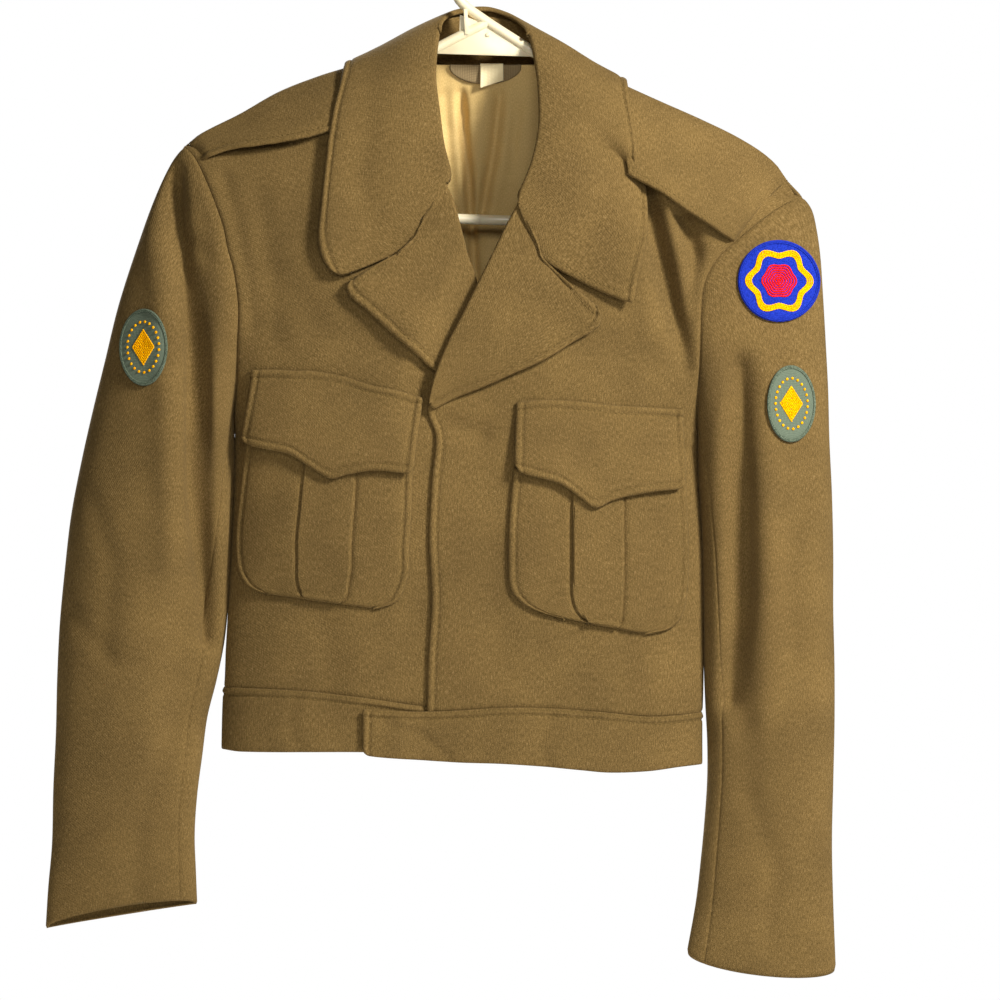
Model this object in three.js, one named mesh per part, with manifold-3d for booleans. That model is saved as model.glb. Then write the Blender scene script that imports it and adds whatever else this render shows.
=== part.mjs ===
// Short wool field jacket hanging on a tubular hanger.
// Millimetres, +Z up, the front faces -Y, the origin is the inner crown of the hanger's hook.
// Left and right are the wearer's, so the left side is at +X.
import * as THREE from 'three';
import * as BufferGeometryUtils from 'three/addons/utils/BufferGeometryUtils.js';
import Module from 'manifold-3d';

const wasm = await Module();
wasm.setup();

// Cloth sizes
const shellWall = 2.4;
const collarWall = 2.6;
const pocketWall = 2.0;
const bandWall = 3.2;
const strapWall = 2.4;
const liningWall = 1.0;
const trimWall = 1.2;
const halfSeam = 0.15;
const restGap = 1.0;

// Body sizes
const shoulderRound = 65;
const armholeDepth = 30;
const bodySquareness = 2.6;
const overlapSink = 8;
const overlapRamp = 28;
const shoulderLeft = { x: 256, z: -232 };
const shoulderRight = { x: -228, z: -193 };
const armpitLeft = { x: 175, z: -430 };
const armpitRight = { x: -189, z: -417 };

// Places round the half armhole, 0 at the shoulder point and 1 at the armpit
const armholeStops = [1, 0.96, 0.89, 0.8, 0.69, 0.57, 0.45, 0.33, 0.23, 0.15, 0.09, 0.045, 0.015, 0];

const table = (columns, rows) =>
  rows.map((row) => Object.fromEntries(columns.map((name, index) => [name, row[index]])));

// A smooth curve through one column of a table against another
function curve(rows, key, value) {
  const sorted = [...rows].sort((a, b) => a[key] - b[key]);
  const at = sorted.map((row) => row[key]);
  const val = sorted.map((row) => row[value]);
  const last = at.length - 1;
  const slopes = at.map((_, i) => {
    const low = Math.max(0, i - 1);
    const high = Math.min(last, i + 1);
    return (val[high] - val[low]) / (at[high] - at[low]);
  });
  return (x) => {
    if (x <= at[0]) return val[0];
    if (x >= at[last]) return val[last];
    let i = 0;
    while (x > at[i + 1]) i += 1;
    const span = at[i + 1] - at[i];
    const t = (x - at[i]) / span;
    const t2 = t * t;
    const t3 = t2 * t;
    return (2 * t3 - 3 * t2 + 1) * val[i] + (t3 - 2 * t2 + t) * span * slopes[i]
      + (3 * t2 - 2 * t3) * val[i + 1] + (t3 - t2) * span * slopes[i + 1];
  };
}

const mix = (a, b, t) => a + (b - a) * t;
const clamp = (x, low, high) => Math.min(high, Math.max(low, x));
const smooth = (t) => {
  const c = clamp(t, 0, 1);
  return c * c * (3 - 2 * c);
};

// Outline of the body seen from the front: side seam up to the armpit, then the armhole seam
const leftEdgeRows = table(['z', 'x'], [
  [-684, 179], [-638, 179], [-600, 180], [-553, 180], [-506, 179], [-463, 176], [-430, 175],
  [-405, 174], [-381, 175], [-350, 176], [-319, 177], [-300, 180], [-282, 190], [-268, 205],
  [-254, 222], [-241, 240], [-232, 256],
]);
const rightEdgeRows = table(['z', 'x'], [
  [-684, -200], [-634, -199], [-600, -197], [-565, -195], [-526, -193], [-471, -190], [-417, -189],
  [-401, -189], [-381, -187], [-350, -186], [-324, -185], [-309, -186], [-290, -189], [-276, -193],
  [-257, -197], [-237, -204], [-220, -211], [-202, -220], [-193, -228],
]);
const leftEdge = curve(leftEdgeRows, 'z', 'x');
const rightEdge = curve(rightEdgeRows, 'z', 'x');

// Ridge of the shoulders, carried on over the neck as the line the cloth would follow
const ridge = curve(table(['x', 'z'], [
  [-228, -193], [-214, -185], [-183, -171], [-152, -154], [-121, -142], [-98, -135], [-49, -120],
  [-27, -112], [9, -106], [47, -114], [68, -125], [82, -133], [113, -148], [144, -162],
  [176, -176], [207, -191], [230, -206], [256, -232],
]), 'x', 'z');

// Depth of the worn-flat body each side of its middle plane
const frontDepthAt = curve(table(['z', 'depth'], [
  [-684, 33], [-550, 38], [-430, 42], [-310, 44], [-235, 40], [-160, 37], [-106, 34],
]), 'z', 'depth');
const backDepthAt = curve(table(['z', 'depth'], [
  [-684, 30], [-550, 33], [-430, 36], [-310, 38], [-180, 35], [-106, 34],
]), 'z', 'depth');

// Soft troughs in the left front, from the strap down the armhole
const frontTroughs = [
  { depth: 5, width: 9, path: [[130, -225], [142, -268], [153, -315], [172, -372]] },
  { depth: 4, width: 9, path: [[163, -250], [172, -284], [175, -330]] },
];

function troughDepth(troughs, x, z) {
  let total = 0;
  for (const { depth, width, path } of troughs) {
    let nearest = Infinity;
    for (let i = 0; i < path.length - 1; i += 1) {
      const [ax, az] = path[i];
      const [bx, bz] = path[i + 1];
      const t = clamp(((x - ax) * (bx - ax) + (z - az) * (bz - az))
        / ((bx - ax) ** 2 + (bz - az) ** 2), 0, 1);
      nearest = Math.min(nearest, Math.hypot(x - mix(ax, bx, t), z - mix(az, bz, t)));
    }
    total += depth * Math.exp(-((nearest / width) ** 2));
  }
  return total;
}

// Armhole loop: z is linear in s, x is the seam, the depth is an ellipse
const sides = {
  left: { top: shoulderLeft, bottom: armpitLeft, edge: leftEdge, sign: 1 },
  right: { top: shoulderRight, bottom: armpitRight, edge: rightEdge, sign: -1 },
};

function armholeShare(side, z) {
  return (side.top.z - z) / (side.top.z - side.bottom.z);
}

function armholePoint(side, s) {
  const z = mix(side.top.z, side.bottom.z, s);
  const x = s <= 0 ? side.top.x : s >= 1 ? side.bottom.x : side.edge(z);
  return { x, z, depth: armholeDepth * Math.sqrt(Math.max(0, 4 * s * (1 - s))) };
}

// Depth of the body at x and z for one face; lift swells it for what lies over it
function bodyDepth(depthAt, x, z, lift = 0) {
  const low = rightEdge(z);
  const high = leftEdge(z);
  const middle = (low + high) / 2;
  const side = x > middle ? sides.left : sides.right;
  const t = clamp(Math.abs(x - middle) / ((high - low) / 2), 0, 1);
  const s = armholeShare(side, z);
  const edgeDepth = s > 0 && s < 1 ? armholePoint(side, s).depth : 0;
  const bend = mix(0.5, 0.95, smooth((z - side.bottom.z) / 70));
  const section = (1 - t ** bodySquareness) ** bend;
  const drop = clamp((ridge(x) - z + lift) / (shoulderRound + lift), 0, 1);
  const roundOver = Math.sqrt(1 - (1 - drop) ** 2);
  return edgeDepth + roundOver * (depthAt(z) + lift - edgeDepth) * section;
}

const frontFace = { depthAt: frontDepthAt, sign: -1 };
const backFace = { depthAt: backDepthAt, sign: 1 };

// The front edge that laps over, against z
const lapEdgeRows = table(['z', 'x'], [
  [-633, -38], [-596, -37], [-549, -34], [-502, -36], [-456, -34], [-420, -31], [-401, -37],
  [-371, -30], [-342, -16], [-317, -4], [-293, 8], [-271, 20], [-246, 31], [-229, 41],
  [-210, 50], [-190, 57], [-173, 61], [-151, 65], [-125, 68],
]);
const lapEdge = curve(lapEdgeRows, 'z', 'x');

// The right front sinks under the left front where they lap
function lapSink(x, z) {
  const deep = mix(3.0, overlapSink, smooth((z + 405) / 27));
  return deep * smooth((x - lapEdge(z) + overlapRamp + 3) / overlapRamp);
}

function facePoint(face, x, z, sink = 0) {
  return new THREE.Vector3(x, face.sign * (halfSeam + bodyDepth(face.depthAt, x, z) - sink), z);
}

function faceNormal(face, x, z) {
  const step = 0.5;
  const slopeX = (bodyDepth(face.depthAt, x + step, z) - bodyDepth(face.depthAt, x - step, z))
    / (2 * step);
  const slopeZ = (bodyDepth(face.depthAt, x, z + step) - bodyDepth(face.depthAt, x, z - step))
    / (2 * step);
  return new THREE.Vector3(-slopeX, face.sign, -slopeZ).normalize();
}

function liftedPoint(face, x, z, lift, sink = 0) {
  return facePoint(face, x, z, sink).addScaledVector(faceNormal(face, x, z), lift);
}

// A closed wall: outer points on a grid, inner points behind them, closed round the rim
const group = new THREE.Group();

function addMesh(name, geometry, look) {
  const mesh = new THREE.Mesh(geometry, new THREE.MeshStandardMaterial(look));
  mesh.name = name;
  group.add(mesh);
  return mesh;
}

function surfaceNormal(point, u, v, uRange, vRange) {
  const stepU = (uRange[1] - uRange[0]) * 0.002;
  const stepV = (vRange[1] - vRange[0]) * 0.002;
  const uLow = Math.max(uRange[0], u - stepU);
  const uHigh = Math.min(uRange[1], u + stepU);
  const vLow = Math.max(vRange[0], v - stepV);
  const vHigh = Math.min(vRange[1], v + stepV);
  const alongU = point(uHigh, v).sub(point(uLow, v));
  const alongV = point(u, vHigh).sub(point(u, vLow));
  return alongU.cross(alongV).normalize();
}

function closedGrid(outer, inner) {
  const rows = outer.length;
  const columns = outer[0].length;
  const points = [...outer.flat(), ...inner.flat()];
  const back = rows * columns;
  const at = (row, column) => row * columns + column;
  const faces = [];
  const quad = (a, b, c, d) => faces.push(a, b, c, a, c, d);
  for (let r = 0; r < rows - 1; r += 1) {
    for (let c = 0; c < columns - 1; c += 1) {
      quad(at(r, c), at(r, c + 1), at(r + 1, c + 1), at(r + 1, c));
      quad(back + at(r, c), back + at(r + 1, c), back + at(r + 1, c + 1), back + at(r, c + 1));
    }
  }
  const rim = [];
  for (let c = 0; c < columns - 1; c += 1) rim.push([at(0, c), at(0, c + 1)]);
  for (let r = 0; r < rows - 1; r += 1) rim.push([at(r, columns - 1), at(r + 1, columns - 1)]);
  for (let c = columns - 1; c > 0; c -= 1) rim.push([at(rows - 1, c), at(rows - 1, c - 1)]);
  for (let r = rows - 1; r > 0; r -= 1) rim.push([at(r, 0), at(r - 1, 0)]);
  for (const [a, b] of rim) quad(b, a, back + a, back + b);
  let volume = 0;
  for (let i = 0; i < faces.length; i += 3) {
    const [a, b, c] = [points[faces[i]], points[faces[i + 1]], points[faces[i + 2]]];
    volume += a.dot(b.clone().cross(c));
  }
  if (volume < 0) {
    for (let i = 0; i < faces.length; i += 3) {
      [faces[i + 1], faces[i + 2]] = [faces[i + 2], faces[i + 1]];
    }
  }
  const geometry = new THREE.BufferGeometry();
  geometry.setAttribute('position', new THREE.Float32BufferAttribute(
    points.flatMap((p) => [p.x, p.y, p.z]), 3));
  geometry.setIndex(faces);
  return geometry;
}

function wall({ name, look, point, us, vs, thickness, outward, innerAt }) {
  const uRange = [us[0], us[us.length - 1]];
  const vRange = [vs[0], vs[vs.length - 1]];
  const middle = surfaceNormal(point, mix(...uRange, 0.47), mix(...vRange, 0.47), uRange, vRange);
  const turn = middle.dot(outward) > 0 ? 1 : -1;
  const thickAt = typeof thickness === 'function' ? thickness : () => thickness;
  const outer = [];
  const inner = [];
  for (const v of vs) {
    outer.push(us.map((u) => point(u, v)));
    inner.push(us.map((u) => {
      const p = point(u, v);
      const n = surfaceNormal(point, u, v, uRange, vRange).multiplyScalar(turn);
      const q = p.clone().addScaledVector(n, -thickAt(u, v));
      return innerAt ? innerAt(u, v, p, q, n) : q;
    }));
  }
  return addMesh(name, closedGrid(outer, inner), look);
}

const steps = (count, from = 0, to = 1) =>
  Array.from({ length: count + 1 }, (_, i) => mix(from, to, i / count));
const forwards = new THREE.Vector3(0, -1, 0);
const backwards = new THREE.Vector3(0, 1, 0);

// Looks
const wool = { color: 0x80683e, roughness: 0.95, metalness: 0 };
const woolDark = { color: 0x6d572e, roughness: 0.95, metalness: 0 };
const sateen = { color: 0xa88a55, roughness: 0.7, metalness: 0 };
const facingLook = { color: 0x735f3f, roughness: 0.9, metalness: 0 };
const labelLook = { color: 0xe0cb97, roughness: 0.8, metalness: 0 };
const greyGreen = { color: 0x7b8069, roughness: 0.85, metalness: 0 };
const patchBlue = { color: 0x2f3fae, roughness: 0.8, metalness: 0 };
const plastic = { color: 0xdcd0b3, roughness: 0.4, metalness: 0 };

// Direction across the wall at the armhole, shared by the body and the sleeve
function seamNormal(side, s, faceSign) {
  const across = new THREE.Vector3(side.top.x - side.bottom.x, 0, side.top.z - side.bottom.z);
  const halfLength = across.length() / 2;
  const cosine = 1 - 2 * s;
  const sine = Math.sqrt(Math.max(0, 1 - cosine * cosine));
  return across.normalize().multiplyScalar(cosine / halfLength)
    .add(new THREE.Vector3(0, faceSign * sine / armholeDepth, 0)).normalize();
}

// Keeps a panel's inner corner on its own side of the seams
function panelInner(face, sideOf) {
  return (u, v, p, q, n) => {
    if (v < 0.001) q.z = p.z;
    const side = sideOf(u);
    if (side) {
      const s = armholeShare(side, p.z);
      if (s >= 0 && s <= 1) return p.clone().addScaledVector(seamNormal(side, s, face.sign), -shellWall);
      return p.clone().setX(p.x - side.sign * shellWall);
    }
    if (Math.abs(p.y) <= halfSeam + 0.01) {
      const flat = new THREE.Vector3(n.x, 0, n.z).normalize();
      return p.clone().addScaledVector(flat, -shellWall);
    }
    q.y = face.sign * Math.max(halfSeam, q.y * face.sign);
    return q;
  };
}

// Waistband seam and hem, against x
const bandTopLeft = curve(table(['x', 'z'], [
  [-88, -634], [-43, -636], [-12, -635], [20, -633], [51, -633], [82, -635], [105, -637],
  [136, -640], [160, -639], [179, -637],
]), 'x', 'z');
const hemLeft = curve(table(['x', 'z'], [
  [-88, -668], [-82, -671], [-43, -674], [-12, -676], [20, -677], [51, -679], [82, -682],
  [105, -684], [136, -683], [160, -680], [180, -678],
]), 'x', 'z');
const bandTopRight = curve(table(['x', 'z'], [
  [-199, -617], [-183, -618], [-136, -620], [-82, -626], [-38, -632], [2, -633],
]), 'x', 'z');
const hemRight = curve(table(['x', 'z'], [
  [-200, -666], [-183, -668], [-82, -668], [-38, -670], [2, -672],
]), 'x', 'z');
const bandTopBack = (x) => mix(-617, -637, (x + 199) / 378);
const hemBack = (x) => mix(-666, -678, (x + 200) / 380);

// Rows of a front, bottom to top: body rows, then one for each armhole stop
function frontRows(side, bodyRows, innerHeights, innerEdge) {
  const rows = bodyRows.map(([innerZ, outerZ]) => ({
    ax: innerEdge(innerZ), az: innerZ, bx: side.edge(outerZ), bz: outerZ, crown: 0,
  }));
  armholeStops.forEach((s, i) => {
    const end = armholePoint(side, s);
    const az = innerHeights[i];
    rows.push({ ax: innerEdge(az), az, bx: end.x, bz: end.z, crown: smooth(1 - s / 0.45) });
  });
  return rows;
}

function rowAt(rows, v) {
  const i = Math.min(rows.length - 2, Math.floor(v));
  const t = v - i;
  const out = {};
  for (const key of Object.keys(rows[i])) out[key] = mix(rows[i][key], rows[i + 1][key], t);
  return out;
}

function frontPoint(side, rows, bandTop, sinkAt) {
  const top = rows[rows.length - 1];
  return (u, v) => {
    const row = rowAt(rows, v);
    const x = mix(row.ax, row.bx, u);
    const crown = ridge(mix(top.ax, top.bx, u)) - mix(top.az, top.bz, u);
    const low = v < 1 ? (bandTop(x) + 0.8 - mix(row.az, row.bz, u)) * (1 - v) : 0;
    const z = mix(row.az, row.bz, u) + row.crown * crown + low;
    const trough = side.sign > 0 ? troughDepth(frontTroughs, x, z) * smooth((1 - u) / 0.12) : 0;
    return facePoint(frontFace, x, z, trough + sinkAt(x, z));
  };
}

const leftColumns = [0, 0.08, 0.2, 0.33, 0.46, 0.58, 0.69, 0.79, 0.87, 0.93, 0.97, 0.992, 1];
const rightColumns = [0, 0.05, 0.1, 0.15, 0.2, 0.25, 0.31, 0.4, 0.52, 0.65, 0.77, 0.87, 0.94, 0.98, 1];
const leftRows = frontRows(sides.left,
  [[-633, -637], [-596, -600], [-549, -553], [-502, -506], [-456, -463]],
  [-420, -414, -404, -383, -360, -336, -312, -285, -248, -215, -185, -158, -137, -125], lapEdge);
const rightInner = curve(table(['z', 'x'], [
  [-633, 2], [-456, 2], [-389, 2], [-323, 2], [-302, 0], [-280, -7], [-262, -12], [-243, -18],
  [-224, -26], [-210, -31], [-192, -36], [-168, -41], [-145, -46], [-120, -49],
]), 'z', 'x');
const rightRows = frontRows(sides.right,
  [[-633, -616], [-596, -590], [-549, -548], [-502, -504], [-462, -460]],
  [-424, -415, -398, -379, -356, -326, -296, -260, -226, -197, -172, -150, -133, -120], rightInner);

for (const [name, side, rows, columns, bandTop, sinkAt] of [
  ['front_left', sides.left, leftRows, leftColumns, bandTopLeft, () => 0],
  ['front_right', sides.right, rightRows, rightColumns, bandTopRight, lapSink],
]) {
  wall({
    name,
    look: wool,
    point: frontPoint(side, rows, bandTop, sinkAt),
    us: columns,
    vs: steps(rows.length - 1, 0, rows.length - 1),
    thickness: shellWall,
    outward: forwards,
    innerAt: panelInner(frontFace, (u) => (u > 0.999 ? side : null)),
  });
}

// Back panel: one piece from side seam to side seam, its top edge along shoulders and neck
const backNeck = curve(table(['x', 'z'], [
  [-49, -120], [-38, -127], [-25, -131], [9, -133], [44, -132], [58, -129], [68, -125],
]), 'x', 'z');
const backTopX = [-228, -222, -214, -204, -192, -176, -155, -120, -85, -49, -38, -25, -8, 9, 26, 44, 58, 68,
  100, 135, 170, 205, 232, 249, 256];
const backBodyRows = [[-617, -637], [-590, -600], [-548, -553], [-504, -506], [-460, -463]];

function backPoint(u, v) {
  const bodyCount = backBodyRows.length;
  const rowEnds = (index) => {
    if (index < bodyCount) {
      const [rightZ, leftZ] = backBodyRows[index];
      return { ax: rightEdge(rightZ), az: rightZ, bx: leftEdge(leftZ), bz: leftZ, crown: 0 };
    }
    const s = armholeStops[index - bodyCount];
    const a = armholePoint(sides.right, s);
    const b = armholePoint(sides.left, s);
    return { ax: a.x, az: a.z, bx: b.x, bz: b.z, crown: smooth(1 - s / 0.45) };
  };
  const last = bodyCount + armholeStops.length - 1;
  const low = Math.min(last - 1, Math.floor(v));
  const row = rowAt([rowEnds(low), rowEnds(low + 1)], v - low);
  const x = mix(row.ax, row.bx, u);
  const topX = mix(shoulderRight.x, shoulderLeft.x, u);
  const topZ = topX > -49 && topX < 68 ? backNeck(topX) : ridge(topX);
  const crown = topZ - mix(shoulderRight.z, shoulderLeft.z, u);
  const base = v < 1 ? (bandTopBack(x) + 0.8 - mix(row.az, row.bz, u)) * (1 - v) : 0;
  return facePoint(backFace, x, mix(row.az, row.bz, u) + row.crown * crown + base);
}

const backRowCount = backBodyRows.length + armholeStops.length - 1;
wall({
  name: 'back_panel',
  look: wool,
  point: backPoint,
  us: backTopX.map((x) => (x - shoulderRight.x) / (shoulderLeft.x - shoulderRight.x)),
  vs: steps(backRowCount, 0, backRowCount),
  thickness: shellWall,
  outward: backwards,
  innerAt: panelInner(backFace, (u) => (u > 0.999 ? sides.left : u < 0.001 ? sides.right : null)),
});

// Sleeves: rings between an outer and an inner point, front view, with half the depth
const sleeveColumns = ['ox', 'oz', 'ix', 'iz', 'half'];
const sleeveRows = {
  left: table(sleeveColumns, [
    [256, -232, 175, -430, 30], [264, -243, 177, -437, 32], [268, -259, 178, -446, 33],
    [271, -281, 179, -459, 34], [273, -311, 181, -477, 35], [275, -346, 182, -498, 36],
    [277, -385, 183, -522, 37], [278, -424, 183, -548, 37], [280, -467, 183, -574, 36],
    [281, -512, 183, -602, 34], [281, -557, 183, -631, 32], [282, -602, 183, -660, 30],
    [282, -647, 182, -690, 27], [281, -693, 180, -721, 25], [280, -740, 177, -753, 22],
    [281, -787, 173, -787, 19], [283, -839, 166, -826, 17],
  ]),
  right: table(sleeveColumns, [
    [-228, -193, -189, -417, 30], [-239, -208, -192, -424, 32], [-252, -236, -193, -436, 33],
    [-267, -278, -193, -449, 34], [-280, -319, -194, -467, 35], [-290, -360, -194, -488, 36],
    [-300, -401, -195, -510, 37], [-309, -441, -196, -534, 37], [-317, -483, -198, -558, 36],
    [-322, -526, -201, -584, 34], [-326, -569, -205, -613, 32], [-328, -612, -210, -641, 30],
    [-329, -654, -214, -671, 27], [-331, -697, -218, -702, 25], [-332, -740, -220, -733, 22],
    [-335, -775, -219, -763, 19], [-337, -807, -218, -788, 17],
  ]),
};
const seamFade = curve(table(['ring', 'share'], [
  [0, 1], [1, 0.9], [2, 0.76], [3, 0.6], [4, 0.44], [5, 0.3], [6, 0.17], [7, 0.07], [8, 0],
]), 'ring', 'share');
const cuffDrop = { left: -11, right: 8 };

// One long trough down each sleeve's front, and one behind
const troughColumns = ['ring', 'place', 'depth'];
const sleeveTroughs = {
  left: table(troughColumns, [
    [3, 0.62, 0], [5, 0.7, 5], [7, 0.73, 7], [9, 0.72, 6], [11, 0.7, 4], [13, 0.68, 0],
  ]),
  right: table(troughColumns, [
    [0.5, 0.2, 0], [2, 0.36, 4], [4, 0.66, 6], [6, 0.77, 7], [8, 0.8, 6], [11, 0.8, 3], [13, 0.78, 0],
  ]),
};

function sleevePoint(sideName) {
  const side = sides[sideName];
  const rows = sleeveRows[sideName].map((row, ring) => ({ ...row, ring }));
  const at = Object.fromEntries(sleeveColumns.map((name) => [name, curve(rows, 'ring', name)]));
  const troughAt = curve(sleeveTroughs[sideName], 'ring', 'place');
  const troughBy = curve(sleeveTroughs[sideName], 'ring', 'depth');
  const lastRing = rows.length - 1;
  const outboard = new THREE.Vector3(side.sign * (side.top.z - side.bottom.z), 0,
    -side.sign * (side.top.x - side.bottom.x)).normalize();
  return (turn, ring) => {
    const s = (1 - Math.cos(turn)) / 2;
    const seam = armholePoint(side, s);
    const share = seamFade(ring);
    const baseX = mix(at.ox(ring), at.ix(ring), s);
    const baseZ = mix(at.oz(ring), at.iz(ring), s);
    const bowX = (seam.x - mix(side.top.x, side.bottom.x, s)) * share;
    const bowZ = (seam.z - mix(side.top.z, side.bottom.z, s)) * share;
    const trough = troughBy(ring) * Math.exp(-(((s - troughAt(ring)) / 0.13) ** 2));
    const full = at.half(ring) * Math.abs(Math.sin(turn));
    const half = full - Math.min(trough, 0.6 * full);
    const drop = cuffDrop[sideName] * Math.max(0, Math.sin(turn)) * smooth((ring - lastRing + 3) / 3);
    const p = new THREE.Vector3(baseX + bowX, -Math.sign(Math.sin(turn)) * half,
      baseZ + bowZ + drop);
    return p.addScaledVector(outboard, ring < 1 ? 0.5 * (1 - ring) : 0);
  };
}

const turnOf = (s) => Math.acos(1 - 2 * s);
const frontTurns = armholeStops.map(turnOf).reverse();
const frontSeamTurn = turnOf(0.89);
const backSeamTurn = turnOf(0.69);
const seamTurn = 0.011;

for (const sideName of ['left', 'right']) {
  const side = sides[sideName];
  const point = sleevePoint(sideName);
  const rings = steps(sleeveRows[sideName].length - 1, 0, sleeveRows[sideName].length - 1);
  const upperFront = frontTurns.filter((turn) => turn > 0.01 && turn < frontSeamTurn - 0.01);
  const upperBack = frontTurns.filter((turn) => turn > 0.01 && turn < backSeamTurn - 0.01);
  const underFront = frontTurns.filter((turn) => turn > frontSeamTurn + 0.01 && turn < 3.14);
  const underBack = frontTurns.filter((turn) => turn > backSeamTurn + 0.01 && turn < 3.14);
  const upper = [-(backSeamTurn - seamTurn), ...upperBack.map((t) => -t).reverse(), 0,
    ...upperFront, frontSeamTurn - seamTurn];
  const under = [frontSeamTurn + seamTurn, ...underFront, Math.PI,
    ...underBack.map((t) => 2 * Math.PI - t).reverse(), 2 * Math.PI - backSeamTurn - seamTurn];
  const innerAt = (turn, ring, p, q) => {
    if (ring > 0) return q;
    const s = (1 - Math.cos(turn)) / 2;
    const faceSign = -Math.sign(Math.sin(turn)) || 1;
    return p.clone().addScaledVector(seamNormal(side, s, faceSign), -shellWall);
  };
  wall({
    name: `sleeve_${sideName}_upper`,
    look: wool,
    point,
    us: upper,
    vs: rings,
    thickness: shellWall,
    outward: new THREE.Vector3(side.sign, 0, 0),
    innerAt,
  });
  wall({
    name: `sleeve_${sideName}_under`,
    look: wool,
    point,
    us: under,
    vs: rings,
    thickness: shellWall,
    outward: new THREE.Vector3(-side.sign, 0, 0),
    innerAt,
  });
}

// Waistband: a back piece and two front pieces; the left one laps over the right one as a tab
const tabRampFrom = -62;
const tabRampTo = -38;
const tabLift = bandWall + 0.9;
const tabShare = (x) => smooth((x - tabRampFrom) / (tabRampTo - tabRampFrom));

function bandPoint(face, fromX, toX, topAt, hemAt, liftAt) {
  return (u, v) => {
    const guess = mix(fromX(-650), toX(-650), u);
    const z = mix(hemAt(guess), topAt(guess), v);
    const x = mix(fromX(z), toX(z), u);
    return facePoint(face, x, z, -liftAt(x));
  };
}

const leftBandColumns = [0, 0.067, 0.097, 0.12, 0.142, 0.165, 0.187, 0.26, 0.337, 0.45, 0.57, 0.68, 0.78,
  0.87, 0.93, 0.97, 0.992, 1];
const rightBandColumns = [0, 0.01, 0.04, 0.09, 0.17, 0.28, 0.4, 0.52, 0.62, 0.683, 0.713, 0.743, 0.772,
  0.802, 0.9, 1];
const flatSeam = (u, v, p, q, n) => {
  q.z = p.z;
  if (Math.abs(p.y) > halfSeam + 1.2) return q;
  return p.clone().setX(p.x - Math.sign(n.x) * bandWall);
};
const tabEnd = -88;
const hiddenEnd = 2;
const edgeLift = (x, side) => 0.8 * smooth(Math.abs(x - side.edge(-650)) / 30);
wall({
  name: 'waistband_left',
  look: wool,
  point: bandPoint(frontFace, () => tabEnd, leftEdge, bandTopLeft, hemLeft,
    (x) => edgeLift(x, sides.left) + tabLift * (1 - tabShare(x))),
  us: leftBandColumns,
  vs: steps(2),
  thickness: bandWall,
  outward: forwards,
  innerAt: flatSeam,
});
wall({
  name: 'waistband_right',
  look: wool,
  point: bandPoint(frontFace, rightEdge, () => hiddenEnd, bandTopRight, hemRight,
    (x) => edgeLift(x, sides.right) - tabLift * tabShare(x)),
  us: rightBandColumns,
  vs: steps(2),
  thickness: bandWall,
  outward: forwards,
  innerAt: flatSeam,
});
wall({
  name: 'waistband_back',
  look: wool,
  point: bandPoint(backFace, rightEdge, leftEdge, bandTopBack, hemBack,
    (x) => Math.min(edgeLift(x, sides.left), edgeLift(x, sides.right))),
  us: [0, 0.008, 0.03, 0.07, 0.13, 0.22, 0.32, 0.44, 0.56, 0.68, 0.78, 0.87, 0.93, 0.97, 0.992, 1],
  vs: steps(2),
  thickness: bandWall,
  outward: backwards,
  innerAt: flatSeam,
});

// Collar: stations round the neck from the right front end to the left front end.
// seamOver and edgeOver say how far down the body a point lies, as the signed square root of its
// drop below the ridge: positive in front, negative behind.
const collarColumns = ['seamX', 'seamOver', 'foldX', 'foldZ', 'foldY', 'midX', 'midZ', 'midY',
  'edgeX', 'edgeOver'];
const collarRows = table(collarColumns, [
  [-24, 10.7, -20, -224, -45, -47, -272, -46, -113, 12.7],
  [-31, 9.8, -23, -210, -46, -70, -245, -48, -121, 11.4],
  [-36, 8.8, -27, -192, -46, -71, -212, -47, -119, 10],
  [-41, 7.1, -30, -167, -44, -70, -180, -45, -115, 8.2],
  [-46, 5, -33, -140, -36, -69, -150, -37, -110, 5.9],
  [-48, 2.9, -32, -115, -19, -67, -126, -21, -104, 3.7],
  [-49, 0, -30, -100, -4, -64, -111, -2, -98, 0],
  [-43, -2.2, -25, -90, 10, -58, -106, 18, -88, -2.5],
  [-27, -4.2, -12, -84, 25, -36, -108, 35, -55, -5.6],
  [9, -5.2, 9, -83, 33, 9, -114, 43, 9, -7.7],
  [39, -4.5, 26, -87, 27, 48, -113, 36, 66, -5.9],
  [60, -2.9, 38, -95, 11, 72, -115, 20, 102, -2.8],
  [68, 0, 44, -103, -4, 79, -119, -2, 114, 0],
  [67, 4, 48, -119, -17, 84, -136, -21, 118, 3.7],
  [65, 6, 51, -144, -30, 88, -158, -37, 122, 5.9],
  [60, 7.8, 52, -173, -42, 90, -185, -45, 126, 7.6],
  [53, 9.3, 48, -200, -46, 90, -213, -47, 129, 9.3],
  [45, 10.5, 41, -222, -47, 87, -247, -49, 129, 11],
  [35, 11.4, 33, -240, -47, 55, -286, -47, 124, 12.9],
]).map((row, station) => ({ ...row, station }));
const collarLast = collarRows.length - 1;
const collarAt = Object.fromEntries(collarColumns.map((name) => [name, curve(collarRows, 'station', name)]));
const neckCentreX = 9;
const leafLift = collarWall + 1.6;

function overRidge(x, over, lift) {
  return liftedPoint(over >= 0 ? frontFace : backFace, x, ridge(x) - over * over, lift);
}

// The front ends follow the gorge seam to the notch, then the free lower edge
const endPaths = [
  [[-20, -224], [-30, -241], [-37, -252], [-42, -262], [-47, -272], [-62, -280], [-78, -287],
    [-96, -294], [-113, -299]],
  [[33, -240], [37, -251], [42, -262], [48, -275], [55, -286], [74, -297], [94, -307],
    [111, -314], [124, -318]],
];

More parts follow.
